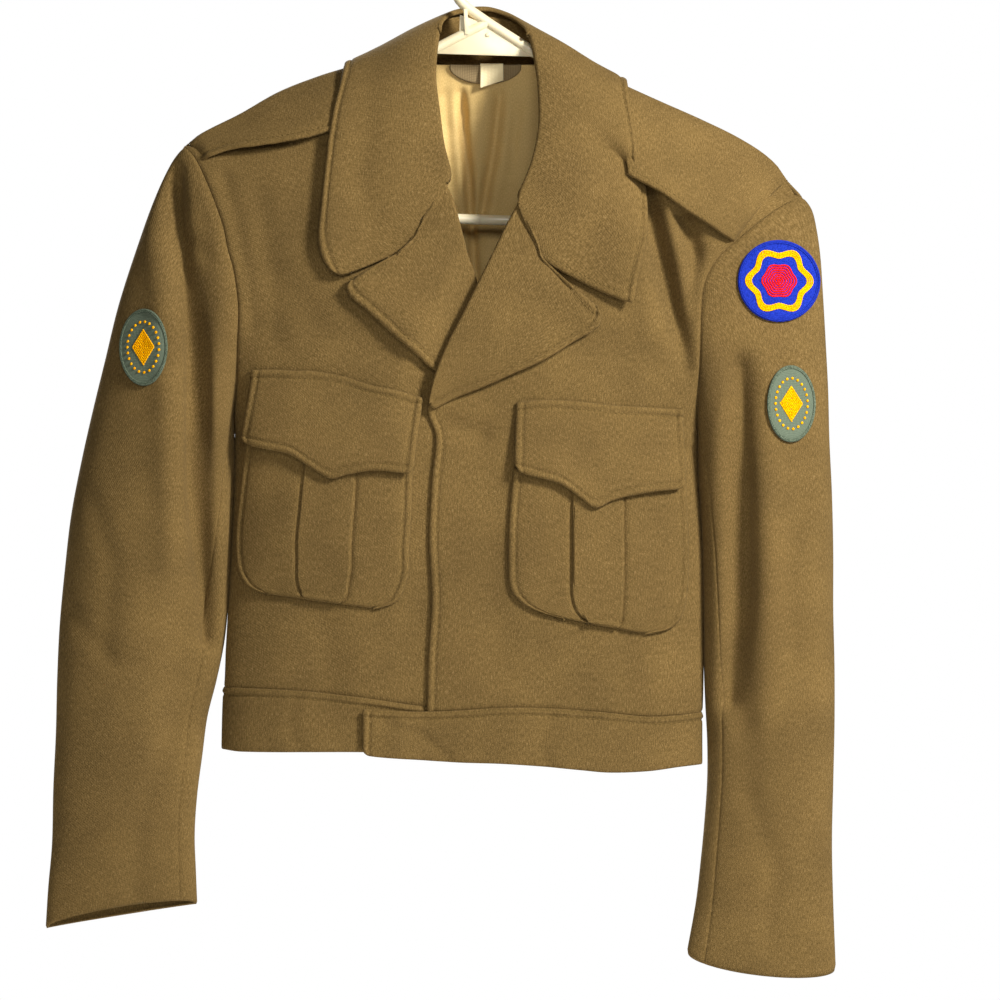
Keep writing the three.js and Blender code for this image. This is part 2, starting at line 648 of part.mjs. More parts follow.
function pathPoint(path, t) {
  const at = clamp(t, 0, 1) * (path.length - 1);
  const i = Math.min(path.length - 2, Math.floor(at));
  return [mix(path[i][0], path[i + 1][0], at - i), mix(path[i][1], path[i + 1][1], at - i)];
}

function leafPoint(w, station) {
  const c = Object.fromEntries(collarColumns.map((name) => [name, collarAt[name](station)]));
  const fold = new THREE.Vector3(c.foldX, c.foldY, c.foldZ);
  if (w < 0) {
    const inwards = new THREE.Vector3(neckCentreX - c.foldX, -c.foldY, -14).normalize();
    return fold.addScaledVector(inwards, -w * 30);
  }
  const edge = overRidge(c.edgeX, c.edgeOver, leafLift);
  const mid = new THREE.Vector3(c.midX, c.midY, c.midZ);
  const p = new THREE.Vector3();
  for (const axis of ['x', 'y', 'z']) {
    const handle = 2 * mid[axis] - (fold[axis] + edge[axis]) / 2;
    p[axis] = (1 - w) ** 2 * fold[axis] + 2 * w * (1 - w) * handle + w * w * edge[axis];
  }
  const ends = [[station, endPaths[0]], [collarLast - station, endPaths[1]]];
  for (const [away, path] of ends) {
    if (away < 2) {
      const share = smooth(1 - away / 2);
      const [x, z] = pathPoint(path, w);
      const straightX = mix(path[0][0], path[8][0], w);
      const straightZ = mix(path[0][1], path[8][1], w);
      const bezierX = p.x;
      const bezierZ = p.z;
      p.x = mix(bezierX, away < 0.001 ? x : bezierX + (x - straightX) * share * 0.3, share);
      p.z = mix(bezierZ, away < 0.001 ? z : bezierZ + (z - straightZ) * share * 0.3, share);
    }
  }
  return p;
}

const leafAcross = [-0.1, 0, 0.125, 0.25, 0.375, 0.5, 0.625, 0.75, 0.875, 1];
wall({
  name: 'collar_leaf',
  look: wool,
  point: leafPoint,
  us: leafAcross,
  vs: [0, 1, 2, 3, 4, 4.5, 5, 5.4, 5.7, 6, 6.3, 6.7, 7, 7.5, 8, 9, 10, 10.5, 11, 11.4, 11.7, 12,
    12.3, 12.7, 13, 13.5, 14, 15, 16, 17, 18],
  thickness: (w) => (w < 0 ? 1.6 : collarWall),
  outward: new THREE.Vector3(0, 0.6, 0.8),
});

// Stand: from the neck seam up to just under the leaf's fold
function standPoint(h, station) {
  const c = Object.fromEntries(collarColumns.map((name) => [name, collarAt[name](station)]));
  const backShare = smooth((5 - Math.abs(station - 9)) / 3);
  const seam = overRidge(c.seamX, c.seamOver, -1.2);
  seam.x += Math.sign(neckCentreX - c.seamX) * 2.6 * (1 - backShare);
  seam.z += mix(0.7, 0.8, backShare);
  const fold = new THREE.Vector3(c.foldX, c.foldY, c.foldZ);
  const inwards = new THREE.Vector3(c.seamX - c.foldX, -c.foldY, seam.z - 20 - c.foldZ).normalize();
  const top = fold.addScaledVector(inwards, collarWall + 4.8);
  return seam.lerp(top, h);
}

wall({
  name: 'collar_stand',
  look: woolDark,
  point: standPoint,
  us: steps(2),
  vs: steps(22, 1.5, 16.5),
  thickness: 1.6,
  outward: new THREE.Vector3(0, -1, 0),
});

// Lapels: rows from the gorge down to the break, each from the roll to the outer edge
const lapelColumns = ['rollX', 'rollZ', 'outX', 'outZ'];
const lapels = {
  left: {
    across: 10,
    sink: () => 0,
    gorge: [[33, -241.5], [36, -252], [41, -263], [47, -276], [54, -287.5], [65, -297.5],
      [77, -308], [89, -317], [98, -324]],
    rows: table(lapelColumns, [
      [33, -243, 98, -324], [23, -264, 96, -335], [13, -285, 78, -347], [2, -307, 55, -361],
      [-8, -327, 31, -372], [-20, -350, 4, -384], [-29, -372, -16, -392], [-36, -396, -32, -400],
    ]),
  },
  right: {
    across: 12,
    sink: lapSink,
    gorge: [[-22, -227], [-29, -243], [-36, -254], [-41, -264], [-46, -273.5], [-60, -282],
      [-74, -289], [-88, -296.5], [-100, -304]],
    rows: table(lapelColumns, [
      [-22, -227, -100, -304], [-17, -243, -97, -312], [-12, -262, -83, -324],
      [-7, -281, -65, -340], [0, -302, -49, -354], [2, -323, -37, -366], [2, -340, -30, -371],
      [2, -356, -22, -376], [2, -372, -8, -379],
    ]),
  },
};

for (const [sideName, lapel] of Object.entries(lapels)) {
  const last = lapel.rows.length - 1;
  const point = (u, v) => {
    const row = rowAt(lapel.rows, v);
    let x = mix(row.rollX, row.outX, u);
    let z = mix(row.rollZ, row.outZ, u);
    if (v < 1) {
      const [gx, gz] = pathPoint(lapel.gorge, u);
      x = mix(gx, x, v);
      z = mix(gz, z, v);
    }
    const hidden = lapel.sink(x, z) / overlapSink;
    const crown = 3.0 * Math.sin(Math.PI * clamp(u * 0.9 + 0.1, 0, 1)) * (1 - v / last) * (1 - hidden);
    return liftedPoint(frontFace, x, z, collarWall + 1.4 + 0.7 * hidden + crown, lapel.sink(x, z));
  };
  wall({
    name: `lapel_${sideName}`,
    look: wool,
    point,
    us: steps(lapel.across),
    vs: steps(last, 0, last),
    thickness: collarWall,
    outward: forwards,
  });
}

// Shoulder straps: from the collar's edge to the sleeve seam, over the ridge
const strapColumns = ['ridgeX', 'frontX', 'frontZ', 'backX', 'backDrop'];
const straps = {
  left: table(strapColumns, [
    [117, 128, -222, 117, 6], [136, 144, -232, 136, 7], [156, 161, -244, 156, 8],
    [176, 177, -254, 176, 9], [203, 188, -261, 203, 10], [234, 196, -267, 230, 12],
  ]),
  right: table(strapColumns, [
    [-103, -114, -184, -106, 20], [-121, -129, -190, -123, 22], [-144, -152, -195, -145, 24],
    [-168, -176, -199, -166, 26], [-190, -192, -201, -185, 28], [-214, -206, -203, -199, 30],
  ]),
};

for (const [sideName, rows] of Object.entries(straps)) {
  const last = rows.length - 1;
  const point = (u, across) => {
    const row = rowAt(rows, u);
    const share = across * across;
    const face = across <= 0 ? frontFace : backFace;
    const endX = across <= 0 ? row.frontX : row.backX;
    const x = mix(row.ridgeX, endX, share);
    const endDrop = across <= 0 ? ridge(endX) - row.frontZ : row.backDrop;
    return liftedPoint(face, x, ridge(x) - endDrop * share, strapWall + restGap + 1);
  };
  wall({
    name: `shoulder_strap_${sideName}`,
    look: wool,
    point,
    us: steps(15, 0, last),
    vs: [-1, -0.84, -0.68, -0.52, -0.38, -0.26, -0.16, -0.08, 0, 0.12, 0.26, 0.42, 0.6, 0.8, 1],
    thickness: strapWall,
    outward: new THREE.Vector3(0, -0.7, 0.7),
  });
}

// Patch pockets with a box pleat, under pointed flaps
const bagColumns = ['lx', 'lz', 'rx', 'rz'];
const bags = {
  left: {
    pleat: [0.35, 0.635],
    rows: table(bagColumns, [
      [30, -446, 164, -455], [27, -479, 165, -483], [26, -506, 166, -506], [26, -530, 166, -530],
      [28, -541, 164, -551], [35, -550, 159, -565], [47, -557, 151, -572], [66, -563, 136, -576],
    ]),
    sink: () => 0,
  },
  right: {
    pleat: [0.36, 0.66],
    rows: table(bagColumns, [
      [-178, -423, -48, -443], [-182, -456, -49, -475], [-184, -475, -50, -495],
      [-186, -495, -51, -510], [-186, -514, -51, -526], [-184, -527, -55, -540],
      [-177, -538, -61, -550], [-165, -544, -75, -556],
    ]),
    sink: lapSink,
  },
};
const pleatRaise = 1.3;
const bagLift = pocketWall + restGap;

for (const [sideName, bag] of Object.entries(bags)) {
  const last = bag.rows.length - 1;
  const [from, to] = bag.pleat;
  const bagAcross = [0, 0.05, 0.2, from - 0.008, from + 0.008, (from + to) / 2, to - 0.008, to + 0.008,
    0.82, 0.95, 1];
  const raised = (u) => (u > from && u < to ? pleatRaise : 0);
  wall({
    name: `pocket_bag_${sideName}`,
    look: wool,
    point: (u, v) => {
      const row = rowAt(bag.rows, v);
      const swell = 0.7 * Math.sin(Math.PI * u);
      return liftedPoint(frontFace, mix(row.lx, row.rx, u), mix(row.lz, row.rz, u),
        bagLift + swell + raised(u), bag.sink(mix(row.lx, row.rx, u), mix(row.lz, row.rz, u)));
    },
    us: bagAcross,
    vs: steps(last, 0, last),
    thickness: pocketWall,
    outward: forwards,
    innerAt: (u, v, p) => {
      const row = rowAt(bag.rows, v);
      const x = mix(row.lx, row.rx, u);
      const z = mix(row.lz, row.rz, u);
      return liftedPoint(frontFace, x, z, restGap, bag.sink(x, z));
    },
  });
}

const flapColumns = ['topX', 'topZ', 'lowX', 'lowZ'];
const flaps = {
  left: {
    columns: table(flapColumns, [
      [32, -395, 30, -449], [49, -393, 51, -454], [66, -393, 67, -459], [80, -394, 81, -469],
      [91, -395, 93, -477], [107, -397, 107, -471], [129, -398, 129, -466], [147, -399, 145, -464],
      [162, -400, 161, -463],
    ]),
    sink: () => 0,
  },
  right: {
    columns: table(flapColumns, [
      [-174, -369, -179, -427], [-156, -369, -161, -431], [-140, -370, -143, -435],
      [-129, -370, -129, -444], [-115, -372, -112, -454], [-100, -375, -98, -451],
      [-82, -381, -78, -448], [-58, -386, -58, -450], [-40, -391, -48, -451],
    ]),
    sink: lapSink,
  },
};

for (const [sideName, flap] of Object.entries(flaps)) {
  const last = flap.columns.length - 1;
  wall({
    name: `pocket_flap_${sideName}`,
    look: wool,
    point: (u, v) => {
      const column = rowAt(flap.columns, u);
      const x = mix(column.topX, column.lowX, v);
      const z = mix(column.topZ, column.lowZ, v);
      const lift = mix(pocketWall + 1.1, 2 * pocketWall + restGap + pleatRaise + 1.3,
        smooth(v * 1.3));
      return liftedPoint(frontFace, x, z, lift, flap.sink(x, z));
    },
    us: steps(last, 0, last),
    vs: [0, 0.3, 0.65, 1],
    thickness: pocketWall,
    outward: forwards,
  });
}

// Lining, neck facing and label: what shows of the inside through the neck
const liningFolds = [
  { depth: 5, width: 6, path: [[-11, -150], [-7, -200], [-3, -250], [0, -300]] },
  { depth: 3, width: 7, path: [[19, -150], [14, -200], [4, -250]] },
];

function liningPoint(x, z, forward) {
  return facePoint(backFace, x, z, forward);
}

wall({
  name: 'lining_back',
  look: sateen,
  point: (u, v) => {
    const x = mix(-50, 70, u);
    const z = mix(-330, -138, v);
    const rise = 5 - troughDepth(liningFolds, x, z) * smooth((0.9 - v) / 0.2);
    return liningPoint(x, z, shellWall + 0.6 + liningWall + Math.max(0, rise));
  },
  us: steps(16),
  vs: steps(8),
  thickness: -liningWall,
  outward: backwards,
});

const facingHalf = 28;
const facingCentre = 8;
const facingDrop = (x) => 15 * Math.sqrt(Math.max(0, 1 - ((x - facingCentre) / (facingHalf + 1)) ** 2));
wall({
  name: 'neck_facing',
  look: facingLook,
  point: (u, v) => {
    const x = facingCentre + mix(-facingHalf, facingHalf, u);
    const z = -138 - facingDrop(x) * v;
    return liningPoint(x, z, shellWall + 0.6 + 2 * liningWall + 5.5 + liningWall);
  },
  us: steps(10),
  vs: [0, 0.5, 1],
  thickness: -liningWall,
  outward: backwards,
});

wall({
  name: 'neck_label',
  look: labelLook,
  point: (u, v) => {
    const z = mix(-137, mix(-153, -147, u), v);
    return liningPoint(mix(4, 22, u), z, shellWall + 0.6 + 4 * liningWall + 6.1);
  },
  us: steps(2),
  vs: steps(2),
  thickness: -0.6,
  outward: backwards,
});

// Sleeve patches: thin ovals and a disc set on the sleeve's own surface
function onSleeve(sideName, x, z, lift) {
  const point = sleevePoint(sideName);
  let turn = 1.5;
  let ring = 4;
  for (let i = 0; i < 14; i += 1) {
    const p = point(turn, ring);
    const dt = point(turn + 0.01, ring).sub(p).multiplyScalar(100);
    const dr = point(turn, ring + 0.01).sub(p).multiplyScalar(100);
    const ex = x - p.x;
    const ez = z - p.z;
    const det = dt.x * dr.z - dr.x * dt.z;
    turn = clamp(turn + clamp((ex * dr.z - dr.x * ez) / det, -0.5, 0.5), 0.03, 3.1);
    ring = clamp(ring + clamp((dt.x * ez - ex * dt.z) / det, -2, 2), 0.05, 15.9);
  }
  const normal = surfaceNormal(point, turn, ring, [0, Math.PI], [0, 16]);
  if (normal.y > 0) normal.negate();
  return point(turn, ring).addScaledVector(normal, lift);
}

const patches = [
  ['patch_shoulder_left', 'left', 237, -300, 32, 32, patchBlue],
  ['patch_sleeve_left', 'left', 246, -396, 19, 30, greyGreen],
  ['patch_sleeve_right', 'right', -258, -352, 19, 30, greyGreen],
];
for (const [name, sideName, cx, cz, halfWide, halfHigh, look] of patches) {
  wall({
    name,
    look,
    point: (u, v) => {
      const x = cx + halfWide * u * Math.sqrt(1 - v * v / 2);
      const z = cz + halfHigh * v * Math.sqrt(1 - u * u / 2);
      return onSleeve(sideName, x, z, trimWall + 1.0);
    },
    us: steps(8, -1, 1),
    vs: steps(8, -1, 1),
    thickness: trimWall,
    outward: forwards,
  });
}

// Hanger: two moulded tubes from the hook and the apex round to the middle of the bar
const tubeRadius = 4;
const hangerCentre = 8;
const hangerApexZ = -95;
const hangerTilt = -0.031;
const hookRadius = 19;

function hangerPoint(dx, drop) {
  const c = Math.cos(hangerTilt);
  const s = Math.sin(hangerTilt);
  return new THREE.Vector3(hangerCentre + dx * c + drop * s, 0, hangerApexZ + dx * s - drop * c);
}

const armRows = [[38, 23], [60, 38], [82, 50], [107, 63], [146, 82], [177, 97], [202, 111], [215, 122],
  [220, 135], [214, 148], [198, 155], [150, 156], [80, 156], [0, 156]];

function sweep(points, radius, closedSteps) {
  const path = new THREE.CatmullRomCurve3(points, false, 'centripetal');
  const section = new THREE.Shape();
  const sectionSides = 8;
  for (let i = 0; i < sectionSides; i += 1) {
    const turn = (i / sectionSides) * 2 * Math.PI;
    const corner = [radius * Math.cos(turn), radius * Math.sin(turn)];
    if (i === 0) section.moveTo(...corner);
    else section.lineTo(...corner);
  }
  section.closePath();
  return new THREE.ExtrudeGeometry(section, {
    steps: closedSteps, extrudePath: path, curveSegments: 1, bevelEnabled: false,
  });
}

function solidOf(geometry) {
  const bare = geometry.index ? geometry.toNonIndexed() : geometry.clone();
  for (const name of Object.keys(bare.attributes)) {
    if (name !== 'position') bare.deleteAttribute(name);
  }
  const merged = BufferGeometryUtils.mergeVertices(bare, 1e-4);
  return new wasm.Manifold(new wasm.Mesh({
    numProp: 3,
    vertProperties: new Float32Array(merged.attributes.position.array),
    triVerts: new Uint32Array(merged.index.array),
  }));
}

function geometryOf(solid) {
  const mesh = solid.getMesh();
  const geometry = new THREE.BufferGeometry();
  geometry.setAttribute('position', new THREE.Float32BufferAttribute([...mesh.vertProperties], 3));
  geometry.setIndex([...mesh.triVerts]);
  return geometry;
}

const apex = hangerPoint(0, 0);
const insideApex = hangerPoint(1.7, 1.3);
const rightArm = armRows.map(([dx, drop]) => hangerPoint(dx, drop));
const leftArm = armRows.map(([dx, drop]) => hangerPoint(-dx, drop));
const hookArc = [];
for (let i = 0; i <= 8; i += 1) {
  const turn = mix(-0.55, Math.PI + 0.25, i / 8);
  const reach = hookRadius + tubeRadius;
  hookArc.push(new THREE.Vector3(-reach * Math.cos(turn), 0, reach * Math.sin(turn) - hookRadius));
}
hookArc.reverse();
const shank = [new THREE.Vector3(-20, 0, -36), new THREE.Vector3(-17, 0, -62),
  new THREE.Vector3(-12, 0, -79)];
const plateOutline = new THREE.Shape([[-42, 24], [-20, 9], [-20, -4], [2, 3], [44, 24], [44, 27],
  [-42, 27]].map(([dx, drop]) => {
  const p = hangerPoint(dx, drop);
  return new THREE.Vector2(p.x, p.z);
}));
const plateThickness = 3;
const plate = new THREE.ExtrudeGeometry(plateOutline, { depth: plateThickness, bevelEnabled: false });
plate.rotateX(Math.PI / 2);
plate.translate(0, plateThickness / 2, 0);
const hangerSolid = solidOf(sweep([...hookArc, ...shank, apex, ...rightArm], tubeRadius, 46))
  .add(solidOf(sweep([insideApex, ...leftArm], tubeRadius, 28)))
  .add(solidOf(plate));
addMesh('hanger', geometryOf(hangerSolid), plastic);

export default group;
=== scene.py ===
import math
from bisect import bisect_right

import bmesh
import bpy
from mathutils import Matrix, Vector, noise


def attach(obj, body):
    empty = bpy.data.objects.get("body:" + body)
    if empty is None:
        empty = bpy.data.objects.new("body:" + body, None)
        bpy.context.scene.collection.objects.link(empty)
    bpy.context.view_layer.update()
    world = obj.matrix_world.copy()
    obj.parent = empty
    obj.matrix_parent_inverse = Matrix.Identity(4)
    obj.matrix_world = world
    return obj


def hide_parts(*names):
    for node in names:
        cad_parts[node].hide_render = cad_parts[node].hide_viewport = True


# Wool field jacket on a tube hanger. Shapes are worked out in millimetres and written in metres.
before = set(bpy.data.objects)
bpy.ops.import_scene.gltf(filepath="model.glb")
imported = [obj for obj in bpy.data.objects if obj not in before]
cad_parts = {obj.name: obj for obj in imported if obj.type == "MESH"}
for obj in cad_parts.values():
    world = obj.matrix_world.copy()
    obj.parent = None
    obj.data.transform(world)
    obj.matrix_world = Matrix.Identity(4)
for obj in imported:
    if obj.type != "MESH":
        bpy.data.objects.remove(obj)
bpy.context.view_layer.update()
mm = 0.001

# Camera: level, at the height of the pockets
cameraSpot = {"place": (0.0195, -6.035, -0.471), "lens": 276.9}
cameraData = bpy.data.cameras.new("camera")
cameraData.lens = cameraSpot["lens"]
cameraData.sensor_width = 36
camera = bpy.data.objects.new("camera", cameraData)
camera.location = cameraSpot["place"]
camera.rotation_euler = (math.radians(90), 0, 0)
bpy.context.scene.collection.objects.link(camera)
bpy.context.scene.camera = camera
bpy.context.scene.view_settings.view_transform = "Standard"   # colours as their hex values give them


# Small helpers
def table(columns, rows):
    return [dict(zip(columns, row)) for row in rows]


def mix(a, b, t):
    return a + (b - a) * t


def clamp(x, low=0.0, high=1.0):
    return min(high, max(low, x))


def smooth(t):
    c = clamp(t)
    return c * c * (3 - 2 * c)


def bump(x, width):
    return math.exp(-((x / width) ** 2))


# A smooth curve through one column against another.
def curve(rows, key, value):
    ordered = sorted(rows, key=lambda row: row[key])
    at = [row[key] for row in ordered]
    val = [row[value] for row in ordered]
    last = len(at) - 1
    slopes = []
    for i in range(last + 1):
        low, high = max(0, i - 1), min(last, i + 1)
        slopes.append((val[high] - val[low]) / (at[high] - at[low]))

    def read(x):
        if x <= at[0]:
            return val[0]
        if x >= at[last]:
            return val[last]
        i = bisect_right(at, x) - 1
        span = at[i + 1] - at[i]
        t = (x - at[i]) / span
        t2, t3 = t * t, t * t * t
        return ((2 * t3 - 3 * t2 + 1) * val[i] + (t3 - 2 * t2 + t) * span * slopes[i]
                + (3 * t2 - 2 * t3) * val[i + 1] + (t3 - t2) * span * slopes[i + 1])

    return read


def curveOf(pairs):
    return curve(table(["at", "value"], pairs), "at", "value")


def overIndex(values):
    return curveOf(list(enumerate(values)))


# Cloth sizes, as in the solids
cloth = {
    "shell": 2.4, "collar": 2.6, "pocket": 2.0, "band": 3.2, "strap": 2.4, "lining": 1.0,
    "trim": 1.2, "halfSeam": 0.02, "restGap": 1.0, "step": 2.7, "stitchInset": 6.0,
}
body = {
    "shoulderRound": 65, "bridgeHeight": 1.6, "armholeDepth": 30, "squareness": 2.6,
    "overlapSink": 8, "overlapRamp": 28,
    "left": {"top": (256, -232), "bottom": (175, -430), "sign": 1},
    "right": {"top": (-228, -193), "bottom": (-189, -417), "sign": -1},
}
leftSide, rightSide = body["left"], body["right"]
leftSide["edge"] = curveOf([
    (-684, 179), (-638, 179), (-600, 180), (-553, 180), (-506, 179), (-463, 176), (-430, 175),
    (-405, 174), (-381, 175), (-350, 176), (-319, 177), (-300, 180), (-282, 190), (-268, 205),
    (-254, 222), (-241, 240), (-232, 256)])
rightSide["edge"] = curveOf([
    (-684, -200), (-634, -199), (-600, -197), (-565, -195), (-526, -193), (-471, -190), (-417, -189),
    (-401, -189), (-381, -187), (-350, -186), (-324, -185), (-309, -186), (-290, -189), (-276, -193),
    (-257, -197), (-237, -204), (-220, -211), (-202, -220), (-193, -228)])
ridge = curveOf([
    (-228, -193), (-214, -185), (-183, -171), (-152, -154), (-121, -142), (-98, -135), (-49, -120),
    (-27, -112), (9, -106), (47, -114), (68, -125), (82, -133), (113, -148), (144, -162),
    (176, -176), (207, -191), (230, -206), (256, -232)])
frontDepth = curveOf([(-684, 33), (-550, 38), (-430, 42), (-310, 44), (-235, 40), (-160, 37), (-106, 34)])
backDepth = curveOf([(-684, 30), (-550, 33), (-430, 36), (-310, 38), (-180, 35), (-106, 34)])
frontSide = {"depth": frontDepth, "sign": -1, "seed": 3.1}
backSide = {"depth": backDepth, "sign": 1, "seed": 21.7}
frontBridge, backBridge = dict(frontSide, bridging=True), dict(backSide, bridging=True)

# Soft troughs and ridges: depth in mm (negative is a ridge), half width, path in x, z
frontTroughs = [
    {"deep": 14, "wide": 9, "path": [(130, -218), (142, -268), (153, -315), (170, -365)]},
    {"deep": 11, "wide": 8, "path": [(163, -250), (172, -284), (175, -330)]},
    {"deep": -3.2, "wide": 9, "path": [(148, -232), (160, -280), (168, -325)]},
    {"deep": 3.0, "wide": 9, "path": [(-24, -411), (4, -419)]},
    {"deep": -2.0, "wide": 10, "path": [(118, -240), (128, -290), (136, -340)]},
    {"deep": 1.6, "wide": 14, "path": [(60, -330), (96, -352), (150, -366)]},
    {"deep": 1.8, "wide": 12, "path": [(120, -585), (118, -612), (124, -634)]},
    {"deep": 1.6, "wide": 15, "path": [(20, -470), (14, -540), (18, -600)]},
]
rightTroughs = [
    {"deep": 5.5, "wide": 9, "path": [(-200, -222), (-190, -262), (-182, -300), (-178, -335)]},
    {"deep": 2.0, "wide": 11, "path": [(-168, -236), (-161, -290), (-158, -340)]},
    {"deep": 1.8, "wide": 16, "path": [(-150, -300), (-120, -340), (-70, -356)]},
    {"deep": 2.0, "wide": 15, "path": [(-120, -575), (-112, -600), (-116, -622)]},
    {"deep": 1.6, "wide": 13, "path": [(-52, -560), (-60, -600), (-58, -628)]},
]
backTroughs = [
    {"deep": 3.6, "wide": 10, "path": [(-176, -250), (-168, -300), (-172, -360), (-180, -405)]},
    {"deep": 3.4, "wide": 10, "path": [(158, -270), (150, -320), (156, -375), (168, -420)]},
    {"deep": 2.2, "wide": 18, "path": [(-90, -180), (-40, -205), (9, -210), (60, -206), (110, -190)]},
    {"deep": 2.0, "wide": 22, "path": [(-70, -430), (-76, -520), (-66, -600)]},
    {"deep": 1.8, "wide": 22, "path": [(64, -420), (74, -510), (66, -610)]},
    {"deep": 1.6, "wide": 20, "path": [(0, -300), (-6, -420), (4, -540)]},
]


def troughDepth(troughs, x, z):
    total = 0.0
    for trough in troughs:
        path, nearest = trough["path"], 1e9
        for (ax, az), (bx, bz) in zip(path, path[1:]):
            dx, dz = bx - ax, bz - az
            t = clamp(((x - ax) * dx + (z - az) * dz) / (dx * dx + dz * dz))
            nearest = min(nearest, math.hypot(x - ax - dx * t, z - az - dz * t))
        if nearest < 3 * trough["wide"]:
            total += trough["deep"] * bump(nearest, trough["wide"])
    return total


def drape(x, z, seed):
    return (1.1 * noise.noise(Vector((x / 60, z / 110, seed)))
            + 0.45 * noise.noise(Vector((x / 21, z / 38, seed + 5))))


def armholeShare(side, z):
    return (side["top"][1] - z) / (side["top"][1] - side["bottom"][1])


# Depth round the armhole from 0 to 1: an ellipse at the shoulder that runs softly into the armpit.
def roundShare(s):
    return max(0.0, 4 * s * (1 - s)) ** mix(0.5, 0.95, smooth((s - 0.55) / 0.4))


def armholePoint(side, s):
    z = mix(side["top"][1], side["bottom"][1], s)
    x = side["top"][0] if s <= 0 else side["bottom"][0] if s >= 1 else side["edge"](z)
    return x, z, body["armholeDepth"] * roundShare(s)


def bodyDepth(face, x, z, lift=0.0):
    low, high = rightSide["edge"](z), leftSide["edge"](z)
    middle = (low + high) / 2
    side = leftSide if x > middle else rightSide
    t = clamp(abs(x - middle) / ((high - low) / 2))
    s = armholeShare(side, z)
    edgeDepth = armholePoint(side, s)[2] if 0 < s < 1 else 0.0
    bend = mix(0.5, 0.95, smooth((z - side["bottom"][1]) / 70))
    section = max(0.0, 1 - t ** body["squareness"]) ** bend
    drop = clamp((ridge(x) - z + lift) / (body["shoulderRound"] + lift))
    roundOver = math.sqrt(1 - (1 - drop) ** 2)
    depth = edgeDepth + roundOver * (face["depth"](z) + lift - edgeDepth) * section
    if face["sign"] > 0:
        hang = -troughDepth(backTroughs, x, z)
    elif x > -36:
        hang = -troughDepth(frontTroughs, x, z)
    else:
        hang = -troughDepth(rightTroughs, x, z)
    hang += drape(x, z, face["seed"])
    if "bridging" in face:
        hang = body["bridgeHeight"]
    return depth + hang * smooth((1 - t) / 0.12) * smooth(drop / 0.6)


lapEdge = curveOf([
    (-633, -38), (-596, -37), (-549, -34), (-502, -36), (-456, -34), (-420, -31), (-401, -37),
    (-371, -30), (-342, -16), (-317, -4), (-293, 8), (-271, 20), (-246, 31), (-229, 41),
    (-210, 50), (-190, 57), (-173, 61), (-151, 65), (-125, 68)])


def lapSink(x, z):
    deep = mix(3.0, body["overlapSink"], smooth((z + 405) / 27))
    return deep * smooth((x - lapEdge(z) + body["overlapRamp"] + 3) / body["overlapRamp"])


def noSink(x, z):
    return 0.0


def facePoint(face, x, z, sink=0.0):
    return Vector((x, face["sign"] * (cloth["halfSeam"] + bodyDepth(face, x, z) - sink), z))


def liftedPoint(face, x, z, lift, sink=0.0):
    step = 1.0
    slopeX = (bodyDepth(face, x + step, z) - bodyDepth(face, x - step, z)) / (2 * step)
    slopeZ = (bodyDepth(face, x, z + step) - bodyDepth(face, x, z - step)) / (2 * step)
    normal = Vector((-slopeX, face["sign"], -slopeZ)).normalized()
    return facePoint(face, x, z, sink) + normal * lift


print("surfaces ready")


# Finishes
def fromHex(code):
    code = code.lstrip("#")
    channels = [int(code[i:i + 2], 16) / 255 for i in (0, 2, 4)]
    return tuple(c / 12.92 if c <= 0.04045 else ((c + 0.055) / 1.055) ** 2.4 for c in channels) + (1.0,)


def addNode(tree, kind, settings=None, links=None, stops=()):
    node = tree.nodes.new(kind)
    for i, (place, colour) in enumerate(stops):
        if i > 1:
            node.color_ramp.elements.new(place)
        node.color_ramp.elements[i].position = place
        node.color_ramp.elements[i].color = fromHex(colour)
    for name, value in (settings or {}).items():
        if isinstance(name, int) or name in node.inputs:
            node.inputs[name].default_value = value
        else:
            setattr(node, name, value)
    for name, source in (links or {}).items():
        tree.links.new(source, node.inputs[name])
    return node


def newMaterial(name, settings):
    material = bpy.data.materials.new(name)
    material.use_nodes = True
    tree = material.node_tree
    tree.nodes.clear()
    shader = addNode(tree, "ShaderNodeBsdfPrincipled", settings)
    output = addNode(tree, "ShaderNodeOutputMaterial")
    tree.links.new(shader.outputs["BSDF"], output.inputs["Surface"])
    return material, tree, shader


woolLook = {
    "dark": "#4f3e1e", "middle": "#644f2a", "light": "#755d35", "fleck": "#937a50",
    "threadSpacing": 1.9,   # mm between twill ribs; the real 0.8 mm is too fine to show
    "fibre": 0.9, "streakWide": 0.9, "streakLong": 3.6, "roughness": 0.95, "sheen": 0.12,
}


